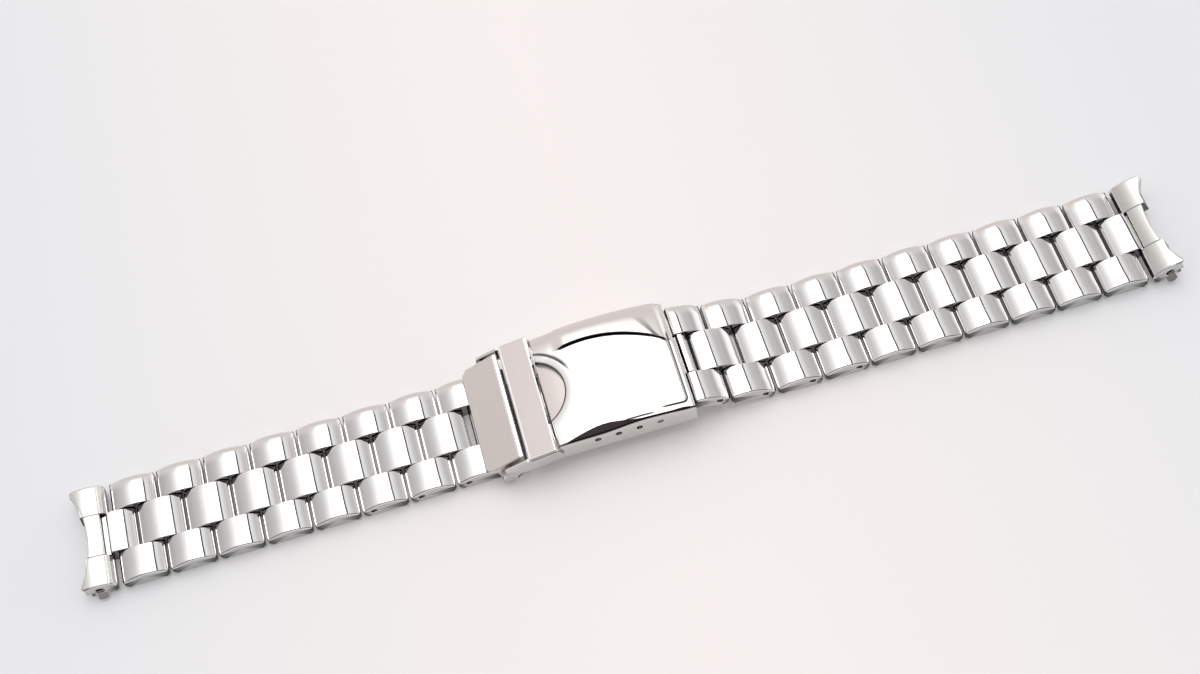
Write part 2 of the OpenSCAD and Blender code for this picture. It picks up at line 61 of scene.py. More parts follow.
def node(tree, kind, inputs=None, **settings):
    """One shader node of that kind, with its settings, and its inputs set by name or number."""
    made = tree.nodes.new("ShaderNode" + kind)
    for key, value in settings.items():
        setattr(made, key, value)
    for key, value in (inputs or {}).items():
        if isinstance(value, bpy.types.NodeSocket):
            tree.links.new(value, made.inputs[key])
        else:
            made.inputs[key].default_value = value
    return made


def ramp(tree, value, stops):
    """A colour ramp: stops are (place, r, g, b) in rising order."""
    made = node(tree, "ValToRGB", {"Fac": value})
    points = made.color_ramp.elements
    while len(points) < len(stops):
        points.new(0.5)
    for point, (place, *colour) in zip(points, stops):
        point.position = place
        point.color = (*colour, 1.0)
    return made.outputs["Color"]


def remap(tree, value, low, high, to_low=0.0, to_high=1.0):
    """A value carried evenly from low..high to to_low..to_high, and kept within them."""
    return node(tree, "MapRange", {"Value": value, "From Min": low, "From Max": high,
                                   "To Min": to_low, "To Max": to_high}).outputs[0]


def mix(tree, factor, first, second):
    """The first colour where the factor is 0, the second where it is 1."""
    return node(tree, "Mix", {"Factor": factor, 6: first, 7: second}, data_type="RGBA").outputs[2]


def new_material(name):
    """An empty material with only its output node, its node tree and its surface socket."""
    made = bpy.data.materials.new(name)
    made.use_nodes = True
    made.node_tree.nodes.clear()
    return made, made.node_tree, made.node_tree.nodes.new("ShaderNodeOutputMaterial").inputs["Surface"]


table_paint, tree, surface = new_material("table_paper")
coords = node(tree, "TexCoord").outputs["Object"]
away = node(tree, "VectorMath", {0: coords, 1: (tint_rate, 0.0, 0.0)}, operation="MULTIPLY").outputs[0]
distance = node(tree, "VectorMath", {0: away}, operation="LENGTH").outputs["Value"]
# The paper's colour grows darker and cooler away from the middle along x, and the paper glows a little:
# painted light that lifts the shadows on the table.
tint = ramp(tree, distance, [
    (0.0, 0.712, 0.68, 0.67), (0.35, 0.68, 0.664, 0.658), (0.9, 0.612, 0.627, 0.652)])
paper = node(tree, "BsdfPrincipled", {
    "Base Color": tint, "Roughness": 0.7, "Specular IOR Level": 0.2, "Emission Color": tint,
    "Emission Strength": table_glow})
tree.links.new(paper.outputs[0], surface)
table_mesh.materials.append(table_paint)

world = bpy.data.worlds.new("studio")
world.use_nodes = True
scene.world = world
tree = world.node_tree
tree.nodes.clear()
toward = node(tree, "SeparateXYZ", {0: node(tree, "TexCoord").outputs["Generated"]})
sideways = node(tree, "Math", {0: toward.outputs["X"], 1: toward.outputs["Z"]}, operation="ARCTAN2")
across_sky = remap(tree, sideways.outputs[0], -math.pi / 2, math.pi / 2)
far_near = remap(tree, toward.outputs["Y"], -1.0, 1.0)
soft_box = ramp(tree, across_sky, [
    (0.00, 0.50, 0.49, 0.49), (0.06, 0.25, 0.24, 0.245), (0.12, 0.20, 0.193, 0.193),
    (0.21, 0.243, 0.234, 0.234), (0.28, 0.276, 0.268, 0.267), (0.32, 0.328, 0.321, 0.318),
    (0.36, 0.405, 0.40, 0.397), (0.395, 0.48, 0.475, 0.47), (0.44, 1.0, 0.99, 0.98),
    (0.609, 1.0, 1.0, 1.0), (0.615, 0.02, 0.02, 0.02), (0.631, 0.02, 0.02, 0.02),
    (0.642, 0.40, 0.392, 0.39), (0.685, 0.33, 0.322, 0.32), (0.715, 0.275, 0.267, 0.266),
    (0.75, 0.247, 0.24, 0.24), (0.79, 0.247, 0.24, 0.24), (0.835, 0.215, 0.208, 0.208),
    (0.87, 0.25, 0.24, 0.24), (0.91, 0.42, 0.41, 0.41), (1.00, 0.55, 0.55, 0.55)])
far_card = ramp(tree, far_near, [
    (0.0, 0.36, 0.35, 0.35), (0.06, 0.20, 0.19, 0.19), (0.09, 0.022, 0.018, 0.018),
    (0.20, 0.022, 0.018, 0.018), (0.25, 0.16, 0.155, 0.155), (0.42, 0.22, 0.215, 0.215),
    (0.80, 0.36, 0.333, 0.322), (0.88, 0.305, 0.28, 0.272), (1.0, 0.355, 0.332, 0.324)])
in_box = ramp(tree, far_near, [
    (0.40, 0.0, 0.0, 0.0), (0.46, 1.0, 1.0, 1.0), (0.76, 1.0, 1.0, 1.0), (0.87, 0.0, 0.0, 0.0)])
light = node(tree, "Background", {"Color": mix(tree, in_box, far_card, soft_box), "Strength": studio_light})
tree.links.new(light.outputs[0], node(tree, "OutputWorld").inputs["Surface"])

azimuth, elevation, roll = (math.radians(a) for a in (3.96664, 59.54336, -12.96234))
focal_px, picture_px, sensor_mm, far_mm = 1800.0, 1200.0, 36.0, 287.36426
shift_x = -3.65593296
aim = Vector((2.09278 + shift_x, 9.89233, 1.0))
forward = Vector((math.sin(azimuth) * math.cos(elevation), math.cos(azimuth) * math.cos(elevation),
                  -math.sin(elevation)))
level = Vector((math.cos(azimuth), -math.sin(azimuth), 0.0))
upright = level.cross(forward)
right = math.cos(roll) * level + math.sin(roll) * upright
up = -math.sin(roll) * level + math.cos(roll) * upright
camera = bpy.data.objects.new("camera", bpy.data.cameras.new("camera"))
camera.data.sensor_width = sensor_mm
camera.data.lens = sensor_mm * focal_px / picture_px
camera.data.clip_start, camera.data.clip_end = 0.01, 20.0
turned = Matrix((right, up, -forward)).transposed().to_4x4()
camera.matrix_world = Matrix.Translation((aim - far_mm * forward) / 1000.0) @ turned
scene.collection.objects.link(camera)
scene.camera = camera


# Blades, catch and pins of the clasp: bent and punched sheet and ground wire. Their solids are
# right as they are, so they stay, with the steel finishes that the rest of the clasp shares.


def group(name, inputs, outputs):
    """An empty node group, with input sockets by default value, output sockets by kind, and both ends."""
    made = bpy.data.node_groups.new(name, "ShaderNodeTree")
    for label, value in inputs.items():
        kind = "NodeSocketColor" if isinstance(value, tuple) else "NodeSocketFloat"
        made.interface.new_socket(label, in_out="INPUT", socket_type=kind).default_value = value
    for label, kind in outputs.items():
        made.interface.new_socket(label, in_out="OUTPUT", socket_type="NodeSocket" + kind)
    return made, made.nodes.new("NodeGroupInput").outputs, made.nodes.new("NodeGroupOutput").inputs


def maths(tree, operation, first, second):
    """The result of one sum on two values."""
    return node(tree, "Math", {0: first, 1: second}, operation=operation).outputs[0]


def noise(tree, vector, scale, detail, roughness=0.5):
    """Cloudy noise from 0 to 1."""
    return node(tree, "TexNoise", {
        "Vector": vector, "Scale": scale, "Detail": detail, "Roughness": roughness}).outputs["Fac"]


def stretched(tree, scale):
    """Object coordinates times a scale along each axis."""
    coords = node(tree, "TexCoord").outputs["Object"]
    return node(tree, "Mapping", {"Vector": coords, "Scale": scale}).outputs[0]


# Smudges: broad soft marks of handling, which dull polished steel a little
smudges, given, result = group("smudges", {"Low": 0.03, "High": 0.12}, {"Roughness": "Float"})
cloud = noise(smudges, node(smudges, "TexCoord").outputs["Object"], 120.0, 4.0, 0.6)
mark = remap(smudges, cloud, 0.42, 0.72)
smudges.links.new(remap(smudges, mark, 0.0, 1.0, given["Low"], given["High"]), result["Roughness"])

# Polish: the faint waves and hair scratches that a buffing wheel leaves
polish, given, result = group("polish_marks", {"Wave": 0.5, "Scratch": 0.3}, {"Height": "Float"})
wave = noise(polish, node(polish, "TexCoord").outputs["Object"], 260.0, 1.0)
hair = noise(polish, stretched(polish, (600.0, 9000.0, 9000.0)), 1.0, 2.0)
waved = maths(polish, "MULTIPLY", wave, given["Wave"])
haired = maths(polish, "MULTIPLY", hair, given["Scratch"])
polish.links.new(maths(polish, "ADD", waved, haired), result["Height"])

# Grain: parallel strokes of a brushing belt along the bracelet, polished away on worn edges
grain, given, result = group(
    "brushed_grain", {"Low": 0.22, "High": 0.42}, {"Stroke": "Float", "Roughness": "Float"})
worn_roughness = 0.07
stroke = noise(grain, stretched(grain, (260.0, 7000.0, 7000.0)), 1.0, 3.0, 0.65)
rough = remap(grain, stroke, 0.3, 0.7, given["Low"], given["High"])
buffed = node(grain, "Attribute", attribute_name="edge").outputs["Fac"]
smoothed = node(grain, "Mix", {"Factor": buffed, 2: rough, 3: worn_roughness}).outputs[0]
grain.links.new(stroke, result["Stroke"])
grain.links.new(smoothed, result["Roughness"])

# Painted shade and painted highlight, from the amounts stored on a piece's own vertices: the crease amount
# darkens gaps, recesses, holes, caps and lines towards a shade colour, standing in for shade and dark
# reflections, and the edge amount lightens worn edges towards a sheen colour, a painted highlight.
shade_and_sheen, given, result = group("crease_and_edge", {
    "Steel": (0.6, 0.6, 0.6, 1.0), "Shade": (0.02, 0.018, 0.016, 1.0), "Bright": (0.8, 0.79, 0.78, 1.0)},
    {"Color": "Color"})
painted_shade, edge = (node(shade_and_sheen, "Attribute", attribute_name=name).outputs["Fac"] for name in ("painted_shade", "edge"))
sheened = mix(shade_and_sheen, edge, given["Steel"], given["Bright"])
shade_and_sheen.links.new(mix(shade_and_sheen, painted_shade, sheened, given["Shade"]), result["Color"])


def metal(tree, surface, colour, roughness, height, relief, depth):
    """The metal itself, with a fine bump from a height."""
    bump = node(tree, "Bump", {"Height": height, "Strength": relief, "Distance": depth})
    shader = node(tree, "BsdfPrincipled", {
        "Base Color": colour, "Metallic": 1.0, "Roughness": roughness, "Normal": bump.outputs[0]})
    tree.links.new(shader.outputs[0], surface)


def polished(name, steel, low, high, wave, scratch):
    """Polished steel: base colour from crease_and_edge, roughness from smudges, and a very low bump."""
    made, tree, surface = new_material(name)
    marks = node(tree, "Group", {"Low": low, "High": high}, node_tree=smudges)
    buffing = node(tree, "Group", {"Wave": wave, "Scratch": scratch}, node_tree=polish)
    colour = node(tree, "Group", {"Steel": (*steel, 1.0)}, node_tree=shade_and_sheen)
    metal(tree, surface, colour.outputs[0], marks.outputs[0], buffing.outputs[0], 0.12, 0.00003)
    return made


def brushed(name, steel, low, high, relief=0.06):
    """Satin steel: strokes along the bracelet vary its roughness, its colour and a fine bump."""
    made, tree, surface = new_material(name)
    strokes = node(tree, "Group", {"Low": low, "High": high}, node_tree=grain).outputs
    dark = tuple(0.96 * c for c in steel)
    base = ramp(tree, strokes["Stroke"], [(0.3, *dark), (0.7, *steel)])
    colour = node(tree, "Group", {"Steel": base}, node_tree=shade_and_sheen)
    metal(tree, surface, colour.outputs[0], strokes["Roughness"], strokes["Stroke"], relief, 0.00002)
    return made


blade_steel = polished("blade_steel", (0.60, 0.59, 0.58), 0.12, 0.22, 0.6, 0.8)
# A darker copy of the blade steel for the lower blade and catch: painted shade, as they lie under the clasp.
shaded_blade_steel = polished("shaded_blade_steel", (0.34, 0.325, 0.32), 0.14, 0.26, 0.6, 0.8)
pin_steel = brushed("ground_pin_steel", (0.42, 0.42, 0.43), 0.18, 0.32)


def dress(names, material):
    """Gives kept CAD nodes a finish in place of their plain one."""
    for name in names:
        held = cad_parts[name]
        held.data.materials.clear()
        held.data.materials.append(material)


left_pairs, right_pairs, left_adjust_pins, right_adjust_pins = 8, 10, 3, 4
dress(["lower_blade", "lock_catch"], shaded_blade_steel)
dress(["middle_blade"], blade_steel)
dress(["fold_pin", "cover_pin", "spring_bar", "left_clasp_pin"], pin_steel)
for side, count in (("left", left_adjust_pins), ("right", right_adjust_pins)):
    dress([f"{side}_adjust_pin_{i}" for i in range(1, count + 1)], pin_steel)


# Outer links: solid steel blocks in pairs, milled, crowned and polished all over, on two pins.
# Each block is one side outline carried across its width, and its side edges are rolled over.

link_steel = polished("link_steel", (0.66, 0.655, 0.655), 0.03, 0.09, 0.5, 0.25)
band_w, centre_w, row_gap, pitch, end_gap = 17.5, 7.0, 0.1, 7.6, 0.42
pin_z, crown_z, shoulder_z, top_chamfer = 1.45, 1.65, 0.75, 0.3
relief_h, relief_l = 0.75, 0.65
pin_r, hold_r, pin_skin, pin_hole_deep = 0.5, 0.52, 0.6, 0.6
half_pitch = pitch / 2
over = (half_pitch - end_gap) / 2
half_link = half_pitch / 2 + over
outer_in = centre_w / 2 + row_gap
crown_half = half_link - top_chamfer
crown_r = (crown_half ** 2 + (crown_z - shoulder_z) ** 2) / (2 * (crown_z - shoulder_z))
outer_roll, inner_roll, corner_round, least_round = 0.28, 0.1, 0.09, 0.03
# lip_edge and hole_dark set the painted highlight and painted shade of pin holes; upright_from, upright_ease
# and under_from say where painted shade falls on a block's ends and underside.
upright_from, upright_ease, under_from, hole_lip, lip_edge, hole_dark = 0.78, 0.15, 0.3, 0.05, 0.6, 0.9
fall_w, side_fall, centre_fall = 1.8, 0.2, 0.06
# Painted shade for the links: the first darkens the upright ends and reliefs in the gaps between links, the
# second the caps that face the next row, the third the outer caps.
end_shade, row_shade, side_shade = 0.92, 0.6, 0.1
cover_len, cover_x, hole_inset = 21.65, 1.775, 5.75
cover_left, cover_right = cover_x - cover_len / 2, cover_x + cover_len / 2
spring_x = cover_right - hole_inset
tilts = (3, 20, 18, 15, 4, 1)
bridge_len, short_len, short_over, short_crown_z = hole_inset + 1.15, 3.0, 1.1, 1.35
toe = over - relief_l
right_pieces, left_pieces = 2 * right_pairs + 1, 2 * left_pairs


def slope_of(k):
    """Slope in degrees of piece k of the right chain, from the spring bar outwards."""
    return tilts[k] if k < len(tilts) else 0


steps = np.array([bridge_len, short_len] + [half_pitch] * (right_pieces - 1))
slopes = np.radians([slope_of(k) for k in range(len(steps))])
runs = np.concatenate([[0.0], np.cumsum(steps * np.cos(slopes))])
drops = np.concatenate([[0.0], np.cumsum(steps * np.sin(slopes))])
spring_z = pin_z + toe * math.sin(math.radians(tilts[-1])) + drops[len(tilts)]
right_pins = np.stack([spring_x + runs, spring_z - drops], axis=1)
wrist_pin_x = -20.0
arc_points = 5


def left_pin_x(k):
    """Place along the bracelet of pin k of the left chain, counted from the clasp."""
    return wrist_pin_x - half_pitch * (k - 1)


def outline(corners, rounds, inset):
    """A closed side outline, counter-clockwise, moved inwards by inset.

    Each side moves in by inset along its own normal. A corner with a round r > 0 becomes an arc
    that touches both its sides: of r - inset (at least least_round), or of r + inset where the
    outline turns inwards. A corner with r = 0 lies on a smooth curve and stays one point. Returns
    the points and their outward normals."""
    before = corners - np.roll(corners, 1, axis=0)
    before /= np.linalg.norm(before, axis=1, keepdims=True)
    after = np.roll(before, -1, axis=0)
    n1 = np.stack([before[:, 1], -before[:, 0]], axis=1)
    n2 = np.stack([after[:, 1], -after[:, 0]], axis=1)
    mitre = (n1 + n2) / (1 + np.sum(n1 * n2, axis=1, keepdims=True))
    moved = corners - inset * mitre
    turn = np.arctan2(before[:, 0] * after[:, 1] - before[:, 1] * after[:, 0], np.sum(before * after, axis=1))
    signed = np.where(turn > 0, np.maximum(rounds - inset, least_round), -(rounds + inset))
    part = np.linspace(0, 1, arc_points)[None, :]
    angle = np.arctan2(n1[:, 1], n1[:, 0])[:, None] + turn[:, None] * part
    normal = np.stack([np.cos(angle), np.sin(angle)], axis=2)
    centre = moved - signed[:, None] * mitre
    arcs = centre[:, None, :] + signed[:, None, None] * normal
    point_sets, normal_sets = [], []
    for i in range(len(corners)):
        if rounds[i] > 0:
            point_sets.append(arcs[i])
            normal_sets.append(normal[i])
        else:
            point_sets.append(moved[i:i + 1])
            normal_sets.append(((n1[i] + n2[i]) / np.linalg.norm(n1[i] + n2[i]))[None, :])
    return np.concatenate(point_sets), np.concatenate(normal_sets)


def spread(corners, rounds):
    """The outline with plain points added on its longer sides, a little way from their two ends."""
    margin, point_sets, round_sets = 0.16, [], []
    followers = np.roll(corners, -1, axis=0), np.roll(rounds, -1)
    for here, r, following, next_r in zip(corners, rounds, *followers):
        side = following - here
        length = np.linalg.norm(side)
        along = side / length
        roomy = length > r + next_r + 3 * margin
        extra = [here + along * (r + margin), following - along * (next_r + margin)] if roomy else []
        point_sets.append(np.array([here] + extra))
        round_sets += [r] + [0.0] * len(extra)
    return np.concatenate(point_sets), np.array(round_sets)


def strip(first, second, size):
    """Faces between two rings of size points, which start at those numbers."""
    i = np.arange(size)
    nxt = (i + 1) % size
    return np.stack([i + first, nxt + first, nxt + second, i + second], axis=1)


def tube(rings, size):
    """Faces of a tube of rings of size points, one after the other."""
    return np.concatenate([strip(r * size, (r + 1) * size, size) for r in range(rings - 1)])


def fan(ring, middle, size):
    """Faces from a ring of size points to one point in its middle."""
    return np.column_stack([strip(ring, ring, size)[:, :2], np.full(size, middle)])


def caps(total, size):
    """Faces that close both ends of a tube of total points, with the two points that follow them."""
    return np.concatenate([fan(0, total, size)[:, [1, 0, 2]], fan(total - size, total + 1, size)])


def circle(x, z, radius, turn):
    """Points on a circle round x, z, at those angles in radians."""
    return np.stack([x + radius * np.cos(turn), z + radius * np.sin(turn)], axis=1)


def end_stations(y, sign, roll, fall):
    """Stations (y, inset, turn, fall, slope) of a block's end at y, in the order of rising y."""
    full = sign * 2 * fall / fall_w
    rolls = [(y - sign * roll * (1 - math.sin(t)), roll * (1 - math.cos(t)), sign * t, fall, full)
             for t in np.radians([0, 22.5, 45, 67.5, 90])]
    falls = [(y - sign * (roll + fall_w * (1 - s)), 0.0, 0.0, fall * s * s, full * s)
             for s in (0.0, 0.25, 0.5, 0.75)] if fall > 0 else []
    return (falls + rolls)[::int(sign)]


def block(corners, rounds, low, high, rolls, hole=None, falls=(0.0, 0.0), shade_levels=(0.0, 0.0, 0.0)):
    """A block: the outline in x and z carried along y from low to high.

    At each end the outline moves in by roll * (1 - cos t) while y runs on by roll * sin t, for t
    from 0 to 90 degrees, which rolls the edge over, and a flat cap closes it. rolls and falls hold
    one value for each end: over the last fall_w before a roll the upper side also falls by
    fall * s squared, s rising from 0 to 1. hole is (x, z, radius, ends, depth): a round hole whose
    ring of points faces the outline's own points, at the low end, the high end or through both.
    The last argument holds how much painted shade darkens the upright ends and reliefs, the low cap and the
    high cap, in place of the shade that falls in the gaps and recesses.
    Returns vertices, normals, edge amounts, crease amounts and faces."""
    corners, rounds = spread(corners, rounds)
    stations = end_stations(low, -1.0, rolls[0], falls[0]) + end_stations(high, 1.0, rolls[1], falls[1])
    sharp = np.concatenate([np.full(arc_points, 1.0) if r > 0 else np.zeros(1) for r in rounds])
    rings, normals, edges, shade_amounts = [], [], [], []
    for y, inset, turn, fall, slope in stations:
        flat, out_2d = outline(corners, rounds, inset)
        upper = np.clip(out_2d[:, 1], 0, 1)
        level_part, lean = math.cos(turn), math.sin(turn)
        rings.append(np.stack([flat[:, 0], np.full(len(flat), y), flat[:, 1] - fall * upper], axis=1))
        normals.append(np.stack([out_2d[:, 0] * level_part, lean + slope * upper * level_part,
                                 out_2d[:, 1] * level_part], axis=1))
        # Rounded corners and rolled edges get an edge amount: the finishes lighten their colour there, a
        # painted highlight on worn edges, and brushed steel is less rough there.
        edges.append(np.maximum(sharp * level_part, 0.8 if 0.2 < abs(lean) < 0.95 else 0.0))
        # Painted shade on the upright ends, the reliefs and the underside, and on the caps.
        shut = np.clip((np.abs(out_2d[:, 0]) - upright_from) / upright_ease, 0, 1)
        under = ((out_2d[:, 1] < -under_from) & (np.abs(out_2d[:, 0]) > under_from)).astype(float)
        cap = shade_levels[2] if lean > 0.9 else shade_levels[1] if lean < -0.9 else 0.0
        cap *= 1.0 if abs(lean) > 0.99 else 0.5
        shade_amounts.append(np.maximum(shade_levels[0] * np.maximum(shut, under), cap))
    count, size = len(rings), len(rings[0])
    total = count * size
    quads, tris = [tube(count, size)[:, ::-1]], []

    def add(points, normal, edge, dark):
        """Further points with one edge and one crease amount. Returns the first one's number."""
        nonlocal total
        rings.append(points)
        normals.append(np.broadcast_to(normal, points.shape))
        edges.append(np.full(len(points), edge))
        shade_amounts.append(np.full(len(points), dark))
        total += len(points)
        return total - len(points)

    open_ends = hole[3] if hole else ()
    lips = []
    for end, ring, y, sign, dark in (("low", 0, low, -1, shade_levels[1]), ("high", count - 1, high, 1, shade_levels[2])):
        if end not in open_ends:
            middle = add(np.array([[corners[:, 0].mean(), y, corners[:, 1].mean()]]), (0, sign, 0), 0.0, dark)
            tris.append(fan(ring * size, middle, size)[:, ::-sign])
            continue
        hx, hz, radius, _, depth = hole
        around = np.arctan2(rings[ring][:, 2] - hz, rings[ring][:, 0] - hx)
        wheel = np.stack([np.cos(around), np.zeros(size), np.sin(around)], axis=1)
        at, inwards = np.array([hx, y, hz]), np.array([0, -sign, 0])
        # A hole's lip is lightened, a painted highlight on a worn edge, and darkened just inside; a blind
        # hole is darkened deep inside: painted shade.
        first = add(at + wheel * (radius + hole_lip), -inwards, lip_edge, dark)
        second = add(at + wheel * radius + hole_lip * inwards, -wheel, lip_edge / 2, lip_edge)
        quads += [strip(ring * size, first, size)[:, ::-sign], strip(first, second, size)[:, ::-sign]]
        lips.append(second)
        if len(open_ends) == 1:
            third = add(at + wheel * radius + depth * inwards, -wheel, 0.0, hole_dark)
            bottom = add((at + depth * inwards)[None, :], -inwards, 0.0, hole_dark)
            quads.append(strip(second, third, size)[:, ::-sign])
            tris.append(fan(third, bottom, size)[:, ::-sign])
    if len(lips) == 2:
        quads.append(strip(*lips, size))
    return (np.concatenate(rings), np.concatenate(normals), np.concatenate(edges), np.concatenate(shade_amounts),
            np.concatenate(quads), np.concatenate(tris) if tris else np.zeros((0, 3), int))


def pin(x, z, radius, low, high, sides=20):
    """A plain round pin along y, with its ends rolled over by a tenth of its radius."""
    ring = circle(x, z, radius, np.linspace(0, 2 * math.pi, sides, endpoint=False))
    return block(ring, np.zeros(sides), low, high, (0.1 * radius, 0.1 * radius))


def placed(part, x, z, slope, mirror=False):
    """Turns a part by slope degrees (right side down) about y and moves it to x, z. With mirror its
    left and right are swapped first."""
    points, normals, edges, shade_amounts, quads, tris = part
    turn = math.radians(slope)
    basis = np.array([[math.cos(turn), 0, math.sin(turn)], [0, 1, 0], [-math.sin(turn), 0, math.cos(turn)]])
    flat = np.array([-1.0 if mirror else 1.0, 1.0, 1.0])
    moved = (points * flat) @ basis.T + np.array([x, 0, z])
    turned = (normals * flat) @ basis.T
    if mirror:
        quads, tris = quads[:, ::-1], tris[:, ::-1]
    return moved, turned, edges, shade_amounts, quads, tris


def joined(parts):
    """Several parts as one: their arrays one after the other, with the faces' numbers moved on."""
    starts = np.cumsum([0] + [len(p[0]) for p in parts[:-1]])
    return ([np.concatenate([p[k] for p in parts]) for k in range(4)]
            + [np.concatenate([p[k] + s for p, s in zip(parts, starts)]) for k in (4, 5)])


def make_mesh(name, points, quads, tris):
    """A mesh in metres in the part's frame, from points in millimetres in the clasp's frame."""
    mesh = bpy.data.meshes.new(name)
    points = (points + np.array([shift_x, 0, 0])) / 1000.0
    mesh.vertices.add(len(points))
    mesh.vertices.foreach_set("co", points.astype(np.float32).ravel())
    mesh.loops.add(quads.size + tris.size)
    mesh.loops.foreach_set("vertex_index", np.concatenate([quads.ravel(), tris.ravel()]).astype(np.int32))
    mesh.polygons.add(len(quads) + len(tris))
    sizes = np.concatenate([np.full(len(quads), 4), np.full(len(tris), 3)])
    mesh.polygons.foreach_set("loop_start", np.concatenate([[0], np.cumsum(sizes)[:-1]]).astype(np.int32))
    mesh.update(calc_edges=True)
    mesh.validate()
    mesh.shade_smooth()
    return mesh


def store(mesh, name, amounts):
    """Keeps one amount for each vertex as an attribute that the finishes read."""
    stored = mesh.attributes.new(name, "FLOAT", "POINT")
    stored.data.foreach_set("value", amounts.astype(np.float32))


def seat(name, mesh, material, body, replaced):
    """The finished object: its mesh, finish, body, replaced CAD node and material slot."""
    mesh.materials.clear()
    mesh.materials.append(material)
    piece = bpy.data.objects.new(name, mesh)
    scene.collection.objects.link(piece)
    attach(piece, body)
    if replaced:
        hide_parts(*replaced)


def make_piece(name, parts, material, body, replaced):
    """One mesh object from parts, with their normals, edges and creases, riding on its body."""
    points, normals, edges, shade_amounts, quads, tris = joined(parts)
    mesh = make_mesh(name, points, quads, tris)
    store(mesh, "edge", edges)
    store(mesh, "painted_shade", shade_amounts)
    lengths = np.linalg.norm(normals, axis=1, keepdims=True)
    mesh.normals_split_custom_set_from_vertices((normals / np.maximum(lengths, 1e-9)).tolist())
    seat(name, mesh, material, body, replaced)


def make_link(name, cad_node, parts, material=link_steel):
    """A link's piece, in place of a CAD node and riding on the body of the same name."""
    make_piece(name, parts, material, cad_node, [cad_node])


def side_blocks(corners, rounds, half, hole_far, hole_near, fall, ends_dark, inside_dark):
    """The far and the near block of the outer rows, from one outline and turned about each other."""
    # The last two arguments are the painted shade of the blocks' ends and of the caps that face the next row.
    return [block(corners, rounds, outer_in, half, (inner_roll, outer_roll), hole_far, (0, fall),
                  (ends_dark, inside_dark, side_shade)),
            block(corners, rounds, -half, -outer_in, (outer_roll, inner_roll), hole_near, (fall, 0),
                  (ends_dark, side_shade, inside_dark))]


def link_side(a, b, top):
    """A link's side outline from -a to b with its pins at height 0: flat foot, two reliefs, upright
    ends, chamfers, and a crown that is an arc of crown_r with its top midway between the pins."""
    left_x, right_x = -a + top_chamfer, b - top_chamfer
    arc_x = left_x + (right_x - left_x) * np.linspace(0, 1, 19)
    arc_z = top - crown_r + np.sqrt(crown_r ** 2 - arc_x ** 2)
    foot = [[-a, relief_h - pin_z], [-a + relief_l, -pin_z], [b - relief_l, -pin_z], [b, relief_h - pin_z],
            [b, arc_z[-1] - top_chamfer]]
    crown = np.stack([arc_x, arc_z], axis=1)[::-1]
    corners = np.concatenate([foot, crown, [[-a, arc_z[0] - top_chamfer]]])
    rounds = np.zeros(len(corners))
    rounds[:6] = rounds[-2:] = corner_round
    return corners, rounds


def outer_pair(l, a, b, top, held, opened):
    """Two outer blocks with pins l apart. held lists the pins fixed in the pair, and opened names the
    side whose pin hole shows in the near block."""
    corners, rounds = link_side(a, b, top)
    hole = (opened * l / 2, 0.0, hold_r, ("low",), pin_hole_deep) if opened else None
    half = band_w / 2
    parts = side_blocks(corners, rounds, half, None, hole, side_fall, end_shade, row_shade)
    return parts + [pin(s * l / 2, 0.0, pin_r, -half + pin_skin, half - pin_skin) for s in held]


for i in range(1, left_pairs + 1):
    opened = -1 if i <= left_adjust_pins else 0
    held = () if i == 1 else ((1,) if opened else (-1, 1))
    parts = [placed(p, left_pin_x(2 * i - 1) - half_pitch / 2, pin_z, 0)
             for p in outer_pair(half_pitch, half_link, half_link, crown_z, held, opened)]
    make_link(f"left_pair_{i}", f"left_outer_{i}", parts)

for i in range(1, right_pairs + 1):
    k = 2 * i - 1
    length = steps[k]
    opened = 1 if i <= right_adjust_pins else 0
    reach = length / 2 + (short_over if i == 1 else over)
    top = short_crown_z if i == 1 else crown_z
    centre = (right_pins[k] + right_pins[k + 1]) / 2
    parts = [placed(p, *centre, slope_of(k))
             for p in outer_pair(length, reach, length / 2 + over, top, (-1,) if opened else (-1, 1), opened)]
    make_link(f"right_pair_{i}", f"right_outer_{i}", parts)


# Centre links: single steel blocks between the outer pairs, on the same pins, crowned and
# polished. The last one at each end stops in a low knuckle under the end link's sheet.

centre_roll, last_cut, last_knuckle_r = 0.14, 1.15, 0.95


def centre_part(corners, rounds):
    """A side outline carried across the centre row."""
    # Its ends, reliefs and both caps get painted shade.
    return block(corners, rounds, -centre_w / 2, centre_w / 2, (centre_roll, centre_roll), None,
                 (centre_fall, centre_fall), (end_shade, row_shade, row_shade))


def last_centre_side():
    """The last centre link's outline: its crown stops last_cut before the end pin, and a round
    knuckle goes on."""
    corners, _ = link_side(half_link, half_link, crown_z)
    cut, stop_round, heel = half_pitch / 2 - last_cut, 0.3, 0.35
    crown = corners[5:-1]
    crown = crown[crown[:, 0] < cut - heel]
    stop_z = crown_z - crown_r + math.sqrt(crown_r ** 2 - (cut - stop_round) ** 2)
    knuckle = circle(half_pitch / 2, 0.0, last_knuckle_r, np.radians(np.linspace(-90, 78, 15)))
    heel_side = [[cut - stop_round, -pin_z], [cut + heel, -last_knuckle_r]]
    foot = np.concatenate([corners[:2], heel_side, knuckle])
    stop = [[cut, last_knuckle_r - 0.05], [cut, stop_z - stop_round], [cut - stop_round, stop_z]]
    body = np.concatenate([foot, stop, crown, corners[-1:]])
    rounds = np.zeros(len(body))
    rounds[:3] = rounds[-2:] = corner_round
    rounds[len(foot):len(foot) + 3] = (least_round, corner_round, corner_round)
    return body, rounds


plain_centre = centre_part(*link_side(half_link, half_link, crown_z))
last_centre = centre_part(*last_centre_side())
for i in range(1, left_pairs + 1):
    last = i == left_pairs
    part = placed(last_centre if last else plain_centre, left_pin_x(2 * i) - half_pitch / 2, pin_z, 0, last)
    make_link(f"left_middle_{i}", f"left_centre_{i}", [part])

